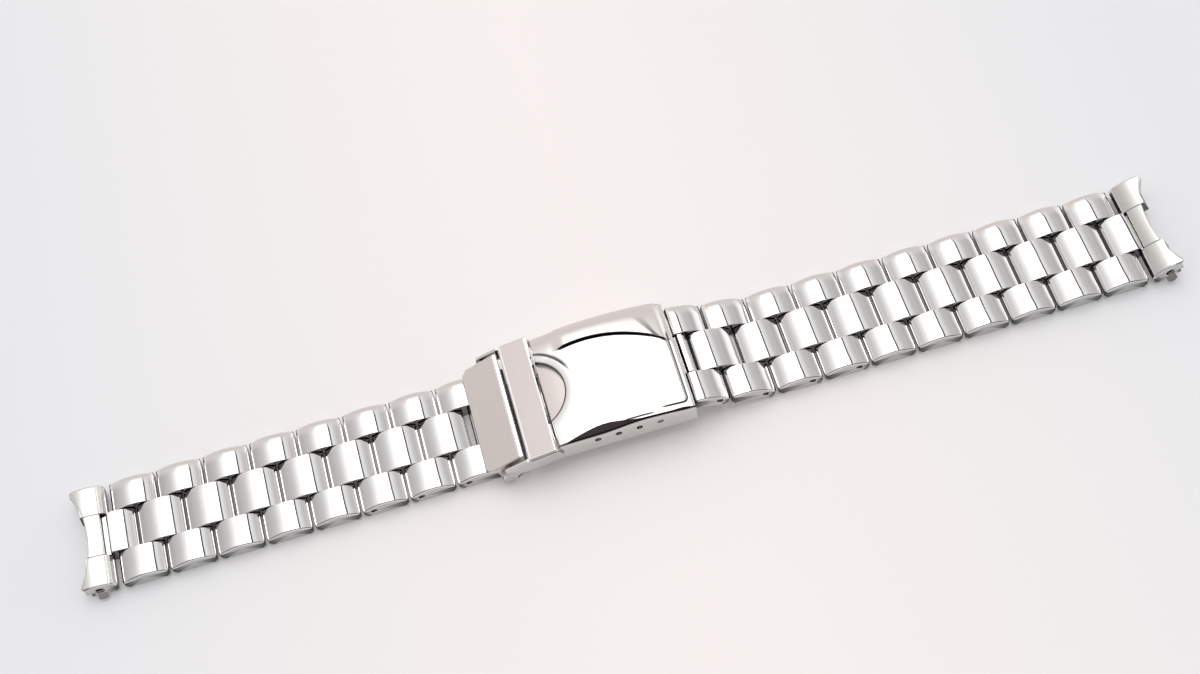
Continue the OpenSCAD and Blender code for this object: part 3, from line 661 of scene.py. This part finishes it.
for i in range(1, right_pairs + 1):
    centre = (right_pins[2 * i] + right_pins[2 * i + 1]) / 2
    part = placed(last_centre if i == right_pairs else plain_centre, *centre, slope_of(2 * i))
    make_link(f"right_middle_{i}", f"right_centre_{i}", [part])


# End links: sheet folded over two solid side parts, with a curved end for the watch case, two
# horns beside the lugs and two bent legs under them. The chain's last pin is fixed in each.

end_crown_r, end_crown_x, end_crown_z = 7.5, 1.2, 1.8
end_block_l, end_bore_x, end_bore_z, lug_bore_r, bore_play = 3.0, 1.6, 0.15, 0.75, 0.04
end_sheet_x, end_wall_drop, sheet_t = -0.1, 0.3, 0.5
case_r, end_reach, tip_x, tip_cut, tip_in = 18.3, 2.2, 4.2, 0.5, 0.35
leg_x, leg_w, leg_top, leg_round, leg_root, leg_splay = 0.35, 1.8, 0.3, 0.8, 0.65, 60
left_tilt, right_tilt = 8, 27
leg_drop = (pin_z + leg_x * math.sin(math.radians(left_tilt))) / math.cos(math.radians(left_tilt)) - 0.2
# end_ends_dark and end_inside_dark are the painted shade on the end blocks' ends and inner caps.
end_roll, rim_round, end_ends_dark, end_inside_dark = 0.45, 0.13, 0.9, 0.8
groove_y, groove_w, groove_deep = 3.56, 0.06, 0.07


def vertex_normals(points, faces):
    """At each vertex, the sum of its faces' normals, weighted by their areas."""
    corner = [points[faces[:, k]] for k in range(faces.shape[1])]
    last = corner[3] if len(corner) == 4 else corner[0]
    face = np.cross(corner[2] - corner[0], last - corner[1])
    normals = np.zeros_like(points)
    for k in range(len(corner)):
        np.add.at(normals, faces[:, k], face)
    return normals


def shell(outer, inner, edges, shade_amounts):
    """A closed sheet with thickness from two grids of points, [column along x, row across].

    Each column is a ring: the outer row, then the inner row backwards. Neighbouring rings are
    joined all round, and the first and last ring are closed by strips from outer to inner."""
    columns, rows = outer.shape[:2]
    points = np.concatenate([outer, inner[:, ::-1]], axis=1).reshape(-1, 3)
    plain = np.zeros((columns, rows))
    edges = np.concatenate([edges, plain], axis=1).ravel()
    # The inner side of the sheet is darkened by half: painted shade under the sheet.
    shade_amounts = np.concatenate([shade_amounts, plain + 0.5], axis=1).ravel()
    j = np.arange(rows - 1)
    back = 2 * rows - 1 - j
    first = np.stack([j, j + 1, back - 1, back], axis=1)
    last = first[:, ::-1] + (columns - 1) * 2 * rows
    quads = np.concatenate([tube(columns, 2 * rows)[:, [0, 3, 2, 1]], first, last])
    return points, vertex_normals(points, quads), edges, shade_amounts, quads, np.zeros((0, 3), int)


def clustered(low, high, count, rim):
    """count values from low to high, with four more within rim of each end, closer to the end."""
    near_end = rim * (1 - np.cos(np.radians([0, 25, 50, 70])))
    middle = np.linspace(low + rim, high - rim, count)
    return np.concatenate([low + near_end, middle, (high - near_end)[::-1]])


def rolled(d, r):
    """Fall of a rolled edge of radius r at distance d from it: a quarter circle, 0 beyond r."""
    return r - np.sqrt(r * r - (r - np.clip(d, 0, r)) ** 2)


def bell(d, width):
    """A soft line: 1 at distance d = 0, falling on both sides as e to the power of minus (d / width)
    squared."""
    return np.exp(-(d / width) ** 2)


def folded_across(top, half, roll):
    """A folded section: a flat top, a quarter circle of radius roll at each side, and two walls.

    top holds the places across of the points on one half of the flat top. Returns, for each point
    of the whole section, its place across, its drop in the fold and how far down the wall it is."""
    fold = np.radians(np.linspace(0, 90, 7))[1:]
    wall = np.linspace(0, 1, 8)[1:]
    y = np.concatenate([top, half - roll + roll * np.sin(fold), np.full(len(wall), half)])
    drop = np.concatenate([np.zeros(len(top)), roll * (1 - np.cos(fold)), np.full(len(wall), roll)])
    down = np.concatenate([np.zeros(len(top) + len(fold)), wall])
    drop, down = (np.concatenate([v[::-1], v[1:]]) for v in (drop, down))
    return np.concatenate([-y[::-1], y[1:]]), drop, down


def end_sheet():
    """The folded sheet: across, it is a flat top, quarter-circle folds of end_roll and upright walls.

    Along, its top is an arc of end_crown_r. It starts at end_sheet_x and runs to the watch case's
    circle, cut off at the horns' tips, and shallow lines part it into three rows."""
    half = band_w / 2
    line = groove_y + np.array([-0.14, -0.06, 0, 0.06, 0.14])
    top = np.concatenate([np.linspace(0, 3.2, 8), line, np.linspace(4.0, half - end_roll, 14)])
    y, drop, down = folded_across(top, half, end_roll)
    reach = end_reach + case_r - np.sqrt(case_r ** 2 - y ** 2)
    reach = np.minimum(np.minimum(reach, tip_x), tip_x - tip_cut + (half - np.abs(y)) * tip_cut / tip_in)
    part = clustered(0.0, 1.0, 34, 0.07)[:, None]
    x = end_sheet_x + (reach - end_sheet_x)[None, :] * part
    crown = end_crown_z - end_crown_r + np.sqrt(end_crown_r ** 2 - (x - end_crown_x) ** 2)
    groove = bell(np.abs(y) - groove_y, groove_w)[None, :] + 0 * x
    from_reach = (reach - end_sheet_x)[None, :] * (1 - part)
    round_off = rolled(x - end_sheet_x, rim_round) + rolled(from_reach, rim_round)
    from_bore = np.abs(x - end_bore_x)
    bore = lug_bore_r + bore_play
    over_bore = end_bore_z + np.sqrt(np.maximum(bore ** 2 - from_bore ** 2, 0))
    foot = np.where(from_bore < bore, over_bore, -end_wall_drop)
    z = (crown - drop - round_off - groove_deep * groove) * (1 - down) + foot * down
    outer = np.stack([x, y[None, :] + 0 * x, z], axis=2)
    inside = np.minimum(crown, end_crown_z) - sheet_t
    inner_y = (y * (half - sheet_t) / half)[None, :] + 0 * x
    inner = np.stack([x, inner_y, inside * (1 - down) + foot * down], axis=2)
    # The rounded ends of the sheet get a painted highlight as worn edges, and its three-row lines get painted
    # shade.
    return shell(outer, inner, np.where(round_off > 0.02, 0.7, 0.0), 0.85 * groove)


def end_parts():
    """One end link with its pin at the origin and its curved end to the right."""
    x = np.linspace(end_block_l, -0.68, 12)
    crown = end_crown_z - 0.04 - end_crown_r + np.sqrt(end_crown_r ** 2 - (x - end_crown_x) ** 2)
    heel = [[-0.7, 1.5], [-1.25, 0.9], [-1.3, -0.6], [-0.9, -1.1], [0.2, -1.4], [end_block_l, -1.4]]
    corners = np.concatenate([np.stack([x, crown], axis=1), heel])
    rounds = np.zeros(len(corners))
    rounds[0] = 0.15
    rounds[len(x) - 1:] = corner_round
    hole = (end_bore_x, end_bore_z, lug_bore_r, ("low", "high"), 0.0)
    half = band_w / 2 - 0.02
    parts = [end_sheet(), pin(0.0, 0.0, pin_r, -half + pin_skin, half - pin_skin)]
    parts[1:1] = side_blocks(corners, rounds, half, hole, hole, 0.0, end_ends_dark, end_inside_dark)
    length = (leg_drop - leg_root) / math.cos(math.radians(leg_splay))
    leg = np.array([[leg_x, leg_top], [leg_x, -length], [leg_x + leg_w, -length], [leg_x + leg_w, leg_top]])
    for side in (-1, 1):
        flat = block(leg, np.array([0.1, leg_round, leg_round, 0.1]), -sheet_t / 2, sheet_t / 2, (0.14, 0.14))
        turn = side * math.radians(leg_splay)
        cos, sin = math.cos(turn), math.sin(turn)
        basis = np.array([[1, 0, 0], [0, cos, -sin], [0, sin, cos]])
        at = np.array([0, side * (band_w / 2 - sheet_t / 2), -leg_root])
        # The legs are lightened all over as worn edges: a painted highlight.
        parts.append((flat[0] @ basis.T + at, flat[1] @ basis.T, np.full(len(flat[2]), 0.9), *flat[3:]))
    return parts


end_steel = brushed("end_satin", (0.60, 0.595, 0.575), 0.20, 0.28)
end_places = {"left": (left_pin_x(left_pieces + 1), pin_z, left_tilt, True),
              "right": (*right_pins[right_pieces], -right_tilt, False)}
for side, (x, z, slope, mirror) in end_places.items():
    parts = [placed(p, x, z, slope, mirror) for p in end_parts()]
    make_link(f"{side}_end", f"{side}_end_link", parts, end_steel)


# Cover of the clasp: one arched sheet, pressed and polished. A panel in its top is set below the
# far band along a sharp fold, its near edge is bevelled, and the half-moon nail opening has a rim
# that is rolled over. Two lugs inside it hold the cover pin.

cover_steel = polished("cover_steel", (0.68, 0.67, 0.66), 0.04, 0.10, 0.7, 0.2)
cover_w, cover_arch_r, cover_over, cover_t, cover_wall, cover_skirt_z = 19.8, 56.0, 2.5, 0.7, 0.8, 2.9
moon_r, moon_depth, moon_lip, moon_fall = 5.73, 3.43, 1.5, 0.14
adjust_holes, adjust_step, adjust_hole_r = 4, 3.3, 0.5
panel_far = np.array([[8.1, 3.6], [6.1, 4.6], [4.1, 5.5], [2.1, 6.2], [-0.4, 6.65], [-3.2, 6.7], [-6.2, 6.4]])
fold_in, fold_bow, fold_reach = 0.45, 0.3, 7.5
panel_up, panel_bow, panel_flick, flick_from = 0.34, 140.0, 0.0035, 4
step_h, step_w, step_ends = 0.36, 0.52, ((-7.8, -5.6), (10.3, 9.2))
band_slope, band_fall, wide_from, wide_ease, band_flick, band_flick_from = 0.02, 0.11, 4, 0.02, 0.02, 7.8
near_edge_drop, near_edge_left, near_edge_rise, near_edge_round = 0.3, 0.14, 0.86, 0.12
bevel_slope, bevel_ends = math.tan(math.radians(40)), ((-4.6, 3.0), (11.0, 7.0))
left_round, right_round, far_round = 0.2, 0.3, 0.35
line_corner, line_right, line_near, line_w, line_deep = 0.8, 0.8, 1.2, 0.13, 0.09
arc_line_w, arc_line_deep, moon_line_w = 0.18, 0.1, 0.14
# Painted dark lines along the near bevel's lower and upper edge, which stand in for dark reflections.
low_line_in, low_line_w, top_line_in, top_line_w = 0.16, 0.12, 0.72, 0.16
cover_top = spring_z + cover_over
cover_z = cover_top - cover_arch_r
cover_edge_z = cover_z + math.sqrt(cover_arch_r ** 2 - (cover_len / 2) ** 2)
moon_x = cover_left + moon_depth - moon_r
half_cover = cover_w / 2
fold_fit = np.polyfit(panel_far[:, 0], panel_far[:, 1], 3)


def between(value, low, high):
    """Smooth rise from 0 at low to 1 at high: 3 s squared less 2 s cubed."""
    s = np.clip((value - low) / (high - low), 0, 1)
    return s * s * (3 - 2 * s)


def within(value, rise, fall):
    """1 between two soft ends: a smooth rise over the first pair and a smooth fall over the second."""
    return between(value, *rise) * between(value, *fall)


def arch(x):
    """The cover's arch along the bracelet, a circle of cover_arch_r."""
    return cover_z + np.sqrt(cover_arch_r ** 2 - (x - cover_x) ** 2)


def fold_y(x):
    """Place across of the fold between panel and far band.

    It is a cubic through the panel's far edge, moved in by fold_in and, towards the middle of the
    cover, by up to fold_bow more."""
    t = x - cover_x
    return np.polyval(fold_fit, t) - fold_in - fold_bow * np.clip(1 - (t / fold_reach) ** 2, 0, 1)


def groove_at(x, y):
    """Distance from the line along the panel's right edge and round its near corner, less than 0 on
    the panel's side of it."""
    px = x - (cover_right - line_right - line_corner)
    py = (line_near - half_cover + line_corner) - y
    outside = np.hypot(np.maximum(px, 0), np.maximum(py, 0))
    return outside + np.minimum(np.maximum(px, py), 0) - line_corner


def cover_marks(x, y):
    """How dark the pressed lines are: along the panel's right edge, and beside the nail opening."""
    edge_line = bell(groove_at(x, y), line_w) * between(y, 4.2, 3.2) * between(x, 5.5, 9.5)
    from_moon = np.hypot(x - moon_x, y) - moon_r - moon_lip
    return edge_line, bell(from_moon, arc_line_w) * within(y, (1.0, 4.0), (7.4, 6.6))


def cover_height(x, y):
    """Height of the cover's outside over the grid.

    The panel is the arch raised by panel_up and bowed by y squared / panel_bow. Past the fold the
    surface steps up by step_h over step_w, then falls to the far edge with a slope that grows
    evenly. Round the nail opening it falls by moon_fall * s squared. A bevel cuts the near edge.
    Its lower edge is straight at the left and rises towards the panel at the right."""
    t = x - cover_x
    raised = arch(x) + panel_up
    fold = fold_y(x)
    panel = raised - y ** 2 / panel_bow + panel_flick * np.maximum(t - flick_from, 0) ** 2
    step = step_h * within(t, *step_ends)
    at_fold = raised - fold ** 2 / panel_bow
    span = half_cover - fold
    s = (y - fold) / span
    fall = band_slope * span * s + (band_fall * span - wide_ease * np.maximum(span - wide_from, 0)) * s ** 2
    flick = band_flick * np.maximum(t - band_flick_from, 0) ** 2 * between(s, 0.0, 0.4)
    band = at_fold + step - fall - flick
    wall = at_fold + step * (y - fold) / step_w
    z = np.where(y <= fold, panel, np.where(y < fold + step_w, np.minimum(wall, band), band))
    to_moon = moon_r + moon_lip - np.hypot(x - moon_x, y)
    z = z - moon_fall * np.clip(to_moon / moon_lip, 0, 1) ** 2
    edge_line, arc_line = cover_marks(x, y)
    z = z - line_deep * edge_line - arc_line_deep * arc_line
    near = y + half_cover
    straight = cover_edge_z - near_edge_drop
    follows = raised - half_cover ** 2 / panel_bow - near_edge_left
    low = straight + near_edge_rise * (np.maximum(follows, straight) - straight) * within(t, *bevel_ends)
    z = np.minimum(z, low + bevel_slope * near)
    z = z - rolled(x - cover_left, left_round) - rolled(cover_right - x, right_round)
    return z - rolled(half_cover - y, far_round) - rolled(near, near_edge_round)


def walled(grid):
    """A grid of the top with two upright walls beside it, which run down to cover_skirt_z."""
    down = np.linspace(0, 1, 7)[None, 1:, None]
    walls = []
    for edge_row in (grid[:, :1], grid[:, -1:]):
        foot = edge_row.copy()
        foot[:, :, 2] = cover_skirt_z
        walls.append(edge_row * (1 - down) + foot * down)
    return np.concatenate([walls[0][:, ::-1], grid, walls[1]], axis=1)


def cover_shell():
    """The sheet with its two side walls, as outer and inner grids of points."""
    x = clustered(cover_left, cover_right, 160, 0.3)[:, None]
    fold = fold_y(x)
    s1, s2, s3, s4 = (np.linspace(0, 1, n)[None, :] for n in (24, 96, 5, 34))
    edge = half_cover * np.ones_like(x)
    bevel_reach = 1.7
    rows = [bevel_reach * s1 - edge, (bevel_reach - edge) * (1 - s2[:, 1:]) + fold * s2[:, 1:],
            fold + step_w * s3[:, 1:], (fold + step_w) * (1 - s4[:, 1:]) + (edge - far_round) * s4[:, 1:]]
    last = far_round * (1 - np.cos(np.radians([78, 58, 38, 18, 0])))[None, :]
    y = np.concatenate(rows + [edge - last], axis=1)
    grid_x = x + 0 * y
    top = np.stack([grid_x, y, cover_height(grid_x, y)], axis=2)
    inner = np.stack([grid_x, y * (half_cover - cover_wall) / half_cover, arch(grid_x) - cover_t], axis=2)
    outer = walled(top)
    plain = np.zeros(outer.shape[:2])
    return shell(outer, walled(inner), plain, plain)


def cylinder(centre, radius, low, high, axis, sides=64):
    """A closed cylinder from low to high along y (axis 1) or z (axis 2)."""
    turn = np.linspace(0, 2 * math.pi, sides, endpoint=False)
    points = np.zeros((2 * sides + 2, 3))
    points[:2 * sides, 0] = centre[0] + radius * np.tile(np.cos(turn), 2)
    points[:2 * sides, 3 - axis] = centre[1] + radius * np.tile(np.sin(turn), 2)
    points[2 * sides:, 0], points[2 * sides:, 3 - axis] = centre
    points[:, axis] = np.concatenate([np.repeat([low, high], sides), [low, high]])
    quads, tris = tube(2, sides), caps(2 * sides, sides)
    if axis == 1:
        quads, tris = quads[:, ::-1], tris[:, ::-1]
    amounts = np.zeros(len(points))
    return points, np.zeros_like(points), amounts, amounts, quads, tris


def punched(sheet_part, cutter_parts):
    """The mesh of a sheet with the cutters' shapes taken out of it."""
    pieces = []
    for name, parts in (("cover_sheet", [sheet_part]), ("cover_cuts", cutter_parts)):
        points, _, _, _, quads, tris = joined(parts)
        pieces.append(bpy.data.objects.new(name, make_mesh(name, points, quads, tris)))
        scene.collection.objects.link(pieces[-1])
    punch = pieces[0].modifiers.new("punch", "BOOLEAN")
    punch.operation, punch.solver, punch.object = "DIFFERENCE", "MANIFOLD", pieces[1]
    bpy.context.view_layer.update()
    made = bpy.data.meshes.new_from_object(pieces[0].evaluated_get(bpy.context.evaluated_depsgraph_get()))
    for piece in pieces:
        bpy.data.objects.remove(piece)
    return made


def cover_shade_paint(x, y, z):
    """How dark each point of the cover is: the pressed lines, the step at the fold, the ring of the
    nail opening, and the lower and upper line of the near bevel, all on the top only."""
    t, near, fold, from_moon = x - cover_x, y + half_cover, fold_y(x), np.hypot(x - moon_x, y) - moon_r
    over_top = (z > arch(x) - cover_t / 2) | ((near < 1.2) & (z > cover_edge_z - 0.5))
    across_step = (y > fold + 0.02) & (y < fold + step_w - 0.02)
    low_line = np.where(near > 0.01, 1.4 * bell(near - low_line_in, low_line_w), 0.0)
    top_line = 1.5 * bell(near - top_line_in, top_line_w) * within(t, (-0.8, 0.6), (5.4, 3.4))
    # All of this is painted: dark lines and bands in place of the shade and dark reflections in the cover's
    # pressed lines, fold, nail opening and bevel.
    dark = np.maximum.reduce([
        *(1.3 * line for line in cover_marks(x, y)), 0.04 * between(moon_lip - from_moon, 0.0, 0.5),
        1.5 * bell(from_moon - 0.05, moon_line_w), low_line, top_line,
        1.1 * across_step * within(t, (-7.6, -6.4), (10.1, 9.4))])
    return np.where(over_top, np.clip(dark, 0, 1), 0.0)


cuts = [cylinder((moon_x, 0.0), moon_r, cover_edge_z - 2.0, cover_top + 1.0, 2)]
cuts += [cylinder((spring_x - k * adjust_step, spring_z), adjust_hole_r, -half_cover - 1, half_cover + 1, 1)
         for k in range(adjust_holes)]
cover_mesh = punched(cover_shell(), cuts)
cover_mesh.name = "cover_top"
cover_mesh.shade_smooth()
cover_mesh.set_sharp_from_angle(angle=math.radians(24))
at = np.zeros(len(cover_mesh.vertices) * 3, dtype=np.float32)
cover_mesh.vertices.foreach_get("co", at)
at = at.reshape(-1, 3) * 1000.0 - np.array([shift_x, 0, 0])
store(cover_mesh, "painted_shade", cover_shade_paint(*at.T))
store(cover_mesh, "edge", np.zeros(len(at)))
seat("cover_top", cover_mesh, cover_steel, "cover", ["cover"])

lift_r, lift_x, lug_w, lug_gap, blade_w, lug_roll = 0.95, -6.5, 0.9, 0.1, 12.0, 0.06
blade_arch_r, blade_rise, lower_t, blade_x, lift_gap = 70.0, 1.6, 0.9, -4.0, 0.2
blade_top = blade_rise - blade_arch_r + math.sqrt((blade_arch_r + lower_t) ** 2 - (lift_x - blade_x) ** 2)
lift_z = blade_top + lift_gap + lift_r
lug_head = arch(lift_x) - 0.5
lug_side = np.concatenate([circle(lift_x, lift_z, lift_r, np.radians(np.linspace(180, 360, 13))),
                           [[lift_x + lift_r, lug_head], [lift_x - lift_r, lug_head]]])
lug_rounds = np.zeros(len(lug_side))
lug_rounds[-2:] = 0.05
lug_hole = (lift_x, lift_z, hold_r, ("low", "high"), 0.0)
lugs = [block(lug_side, lug_rounds, middle - lug_w / 2, middle + lug_w / 2, (lug_roll, lug_roll), lug_hole)
        for middle in (side * (blade_w / 2 + lug_gap + lug_w / 2) for side in (-1, 1))]
make_piece("cover_lugs", lugs, cover_steel, "cover", [])


# Nail plate: a flat satin plate fixed inside the cover, which closes the nail opening. Its solid
# is right as it is, so it stays.

satin_steel = brushed("satin_steel", (0.465, 0.425, 0.413), 0.28, 0.29, 0.01)
dress(["nail_plate"], satin_steel)


# Hood: satin sheet folded over the end of the left links. It slopes down from a narrow polished
# strip beside the lock, has a wall at its right end, and carries the lock's rivets in its sides.

lock_w, arm_t, lock_gap, bar_len, bar_t, bar_gap, bar_slope = 21.0, 0.55, 0.55, 4.75, 0.8, 0.25, 9.5
bar_right = cover_left - bar_gap
bar_left = bar_right - bar_len
bar_right_z = cover_edge_z + 0.15
bar_left_z = bar_right_z - bar_len * math.tan(math.radians(bar_slope))
hood_t, hood_slope, hood_tip_x, hood_tip_t, hood_corner = 0.5, 24.6, -20.7, 0.28, 0.85
hood_roll, hood_bend, hood_right_round, hood_tip_round = 0.22, 0.12, 0.14, 0.08
hood_w = lock_w - 2 * (arm_t + lock_gap)
hood_right, hood_top_z = bar_left - 0.55, bar_left_z - 0.05
hood_flat_x = hood_right - 0.55
hood_wall_x, hood_foot_z = hood_tip_x + 1.3, 0.6
hood_steel = brushed("hood_satin", (0.73, 0.68, 0.655), 0.27, 0.33, 0.03)


def hood_shell():
    """The hood's sheet: along, a slope that turns into a flat strip; across, a top and two walls.

    The walls reach down to a line that drops from the tip to hood_foot_z, and at the tip the sheet
    is cut off at its corners."""
    x = np.concatenate([clustered(hood_tip_x, hood_flat_x - hood_bend, 40, 0.2),
                        hood_flat_x + np.array([-0.06, 0.0, 0.06, 0.14]),
                        np.linspace(hood_flat_x + 0.3, hood_right - 0.16, 5),
                        hood_right - hood_right_round * (1 - np.sin(np.radians([0, 30, 60, 90])))])[:, None]
    half = hood_w / 2
    y, drop, down = folded_across(np.linspace(0, half - hood_roll, 24), half, hood_roll)
    scale = (half - np.clip(hood_tip_x + hood_corner - x, 0, hood_corner)) / half
    lean = math.tan(math.radians(hood_slope))
    over_bend = x - hood_flat_x
    slope_z = hood_top_z + over_bend * lean
    bend = np.where(np.abs(over_bend) < hood_bend, lean * (over_bend - hood_bend) ** 2 / (8 * hood_bend), 0.0)
    crown = np.minimum(slope_z, hood_top_z) - bend
    crown = crown - rolled(hood_right - x, hood_right_round) - rolled(x - hood_tip_x, hood_tip_round)
    thick = np.minimum(hood_t, hood_tip_t + (x - hood_tip_x) * lean)
    deep = between(x, hood_wall_x, hood_wall_x + 1.0)
    foot = (crown - hood_roll - 0.1) * (1 - deep) + hood_foot_z * deep
    outer = np.stack([x + 0 * y, y * scale, (crown - drop) * (1 - down) + foot * down], axis=2)
    inside = (crown - thick) * (1 - down) + np.minimum(foot, crown - thick) * down
    inner = np.stack([x + 0 * y, y * scale * (half - hood_t) / half, inside], axis=2)
    # The flat strip is marked as a worn edge: less rough for its polish, and lighter, a painted highlight.
    shine = between(x, hood_flat_x - 0.1, hood_flat_x + 0.05) + 0 * y
    return shell(outer, inner, shine, 0 * shine)


hood_inside, wall_top, wall_in = hood_right - hood_t, hood_top_z - 0.04, hood_w / 2 - 0.04
end_wall = np.array([[hood_inside, 1.72], [hood_right, 1.66], [hood_right, wall_top - 0.1],
                     [hood_right - 0.1, wall_top], [hood_inside, wall_top]])
# Painted shade on the end wall's upright ends.
wall_part = block(end_wall, np.full(5, 0.04), -wall_in, wall_in, (0.18, 0.18), shade_levels=(0.5, 0, 0))
make_piece("hood_plate", [hood_shell(), wall_part], hood_steel, "lower_blade", ["hood"])


# Safety lock: a satin bar with a polished right bevel and two side arms that turn on the rivets.
# The bar snaps down onto the catch and keeps the cover shut.

lock_x, lock_z, rivet_r, arm_round_r, arm_foot = -17.5, 1.95, 0.6, 1.25, 0.35
arm_in, bar_bevel, bar_lip, bar_heel = lock_w / 2 - arm_t, 0.35, 0.2, 0.45
arm_top_z, arm_nose_x, arm_nose_z = bar_left_z - 1.65, bar_right + 0.95, bar_right_z - 2.75
bar_steel = brushed("bar_satin", (0.45, 0.41, 0.402), 0.28, 0.288, 0.01)


def bar_block():
    """The bar: its side outline, with a rounded left edge and a right bevel, across the lock."""
    lean = math.tan(math.radians(bar_slope))
    corners = np.array([
        [bar_left + bar_heel, bar_left_z - bar_t + 0.07], [bar_right, bar_right_z - bar_t],
        [bar_right, bar_right_z - bar_bevel - 0.05], [bar_right - bar_bevel, bar_right_z - bar_bevel * lean],
        [bar_left + bar_lip, bar_left_z + bar_lip * lean], [bar_left, bar_left_z - 0.13],
        [bar_left, bar_left_z - 0.35]])
    rounds = np.array([0.05, 0.08, 0.1, 0.08, 0.08, 0.08, 0.06])
    # Painted shade on the bar's ends and both caps.
    return block(corners, rounds, -lock_w / 2, lock_w / 2, (0.3, 0.3), shade_levels=(0.4, 0.7, 0.7))


def arm_block(side):
    """A side arm: its outline, from the foot round the rivet to the bar and the nose, arm_t thick."""
    boss = circle(lock_x, lock_z, arm_round_r, np.radians(np.linspace(110, 225, 9)))
    corners = np.concatenate([
        [[lock_x + 1.1, lock_z - arm_foot], [lock_x + 1.5, lock_z + 0.65],
         [bar_right - 0.2, arm_nose_z - 0.4], [arm_nose_x, arm_nose_z], [bar_right - 0.3, bar_right_z - 0.4],
         [bar_left - 0.25, bar_left_z - 0.2], [lock_x - 0.4, arm_top_z + 0.2]],
        boss, [[lock_x, lock_z - arm_round_r]]])
    rounds = np.zeros(len(corners))
    rounds[:7] = (0.3, 0.2, 0.3, 0.35, 0.3, 0.3, 0.4)
    ends = (side * arm_in, side * lock_w / 2)
    # Painted shade on the arm's upright ends.
    return block(corners, rounds, min(ends) + 0.01, max(ends) - 0.01, (0.1, 0.1), shade_levels=(0.2, 0.0, 0.0))


make_piece("lock_bar", [bar_block()], bar_steel, "safety_lock", ["safety_lock"])
make_piece("lock_arms", [arm_block(-1), arm_block(1)], cover_steel, "safety_lock", [])


# Rivets of the lock: two turned steel rivets, held in the hood's side walls, each with a collar
# between hood and arm and a low ringed head.

collar_r, collar_run, rivet_sides = 0.95, 0.03, 40
# ring_dark is painted shade in the groove of each head's ring.
ring_out, ring_in, ring_dark = rivet_r - 0.08, rivet_r - 0.24, 0.95
rivet_steel = polished("rivet_steel", (0.62, 0.61, 0.60), 0.10, 0.2, 0.3, 0.3)


def turned_rivet(side):
    """A turned rivet: the profile of radius against distance across, carried round the rivet's axis."""
    inner, wall = hood_w / 2 - hood_t, hood_w / 2 + collar_run
    out, head = arm_in - collar_run, lock_w / 2
    profile = np.array([
        [0.0, inner], [rivet_r, inner], [rivet_r, wall], [collar_r, wall], [collar_r, out], [rivet_r, out],
        [rivet_r, head - 0.02], [rivet_r - 0.02, head + 0.03], [rivet_r - 0.06, head + 0.03],
        [ring_out, head - 0.04], [ring_in, head - 0.04], [ring_in - 0.03, head + 0.04], [0.0, head + 0.07]])
    turn = np.linspace(0, 2 * math.pi, rivet_sides, endpoint=False)
    ring = profile[1:-1]
    x = lock_x + ring[:, :1] * np.cos(turn)
    z = lock_z + ring[:, :1] * np.sin(turn)
    y = side * ring[:, 1:] + 0 * x
    ends = [[lock_x, side * across, lock_z] for across in profile[[0, -1], 1]]
    points = np.concatenate([np.stack([x, y, z], axis=2).reshape(-1, 3), ends])
    quads, tris = tube(len(ring), rivet_sides), caps(len(ring) * rivet_sides, rivet_sides)
    if side > 0:
        quads, tris = quads[:, ::-1], tris[:, ::-1]
    in_ring = (ring[:, 0] > ring_in - 0.01) & (ring[:, 0] < ring_out + 0.01) & (ring[:, 1] > out)
    dark = np.concatenate([np.repeat(np.where(in_ring, ring_dark, 0.0), rivet_sides), [0.0, 0.0]])
    normals = vertex_normals(points, quads) + vertex_normals(points, tris)
    return points, normals, np.zeros(len(points)), dark, quads, tris


make_piece("rivet_pair", [turned_rivet(-1), turned_rivet(1)], rivet_steel, "lower_blade", ["lock_rivets"])


# Clasp end link: a flat steel link with a fine satin finish, which turns on the spring bar and
# comes out from under the cover.

bridge_over, bridge_r, bridge_head_z, spring_r, spring_play = 0.85, 1.2, 0.6, 0.65, 0.05
head, end = hole_inset + 0.35, bridge_len + bridge_over
bridge_side = np.concatenate([
    circle(0.0, 0.0, bridge_r, np.radians(np.linspace(90, 270, 17))),
    [[end - 0.6, -1.3], [end, -0.7], [end, bridge_head_z - 0.3], [end - 0.3, bridge_head_z],
     [end - 0.75, bridge_head_z + 0.16], [head + 1.3, bridge_head_z + 0.45],
     [head + 0.4, bridge_head_z + 0.5], [head, bridge_head_z]]])
bridge_rounds = np.zeros(len(bridge_side))
bridge_rounds[-8:] = (0.1, 0.1, 0.1, 0.08, 0.05, 0.1, 0.1, 0.1)
# Painted shade on the link's ends and both caps.
bridge_part = block(bridge_side, bridge_rounds, -centre_w / 2, centre_w / 2, (centre_roll, centre_roll),
                    (0.0, 0.0, spring_r + spring_play, ("low", "high"), 0.0), shade_levels=(0.7, 0.7, 0.7))
bridge_steel = brushed("bridge_satin", (0.66, 0.61, 0.60), 0.16, 0.24)
bridge_part = placed(bridge_part, spring_x, spring_z, slope_of(0))
make_link("bridge_link", "clasp_end_link", [bridge_part], bridge_steel)
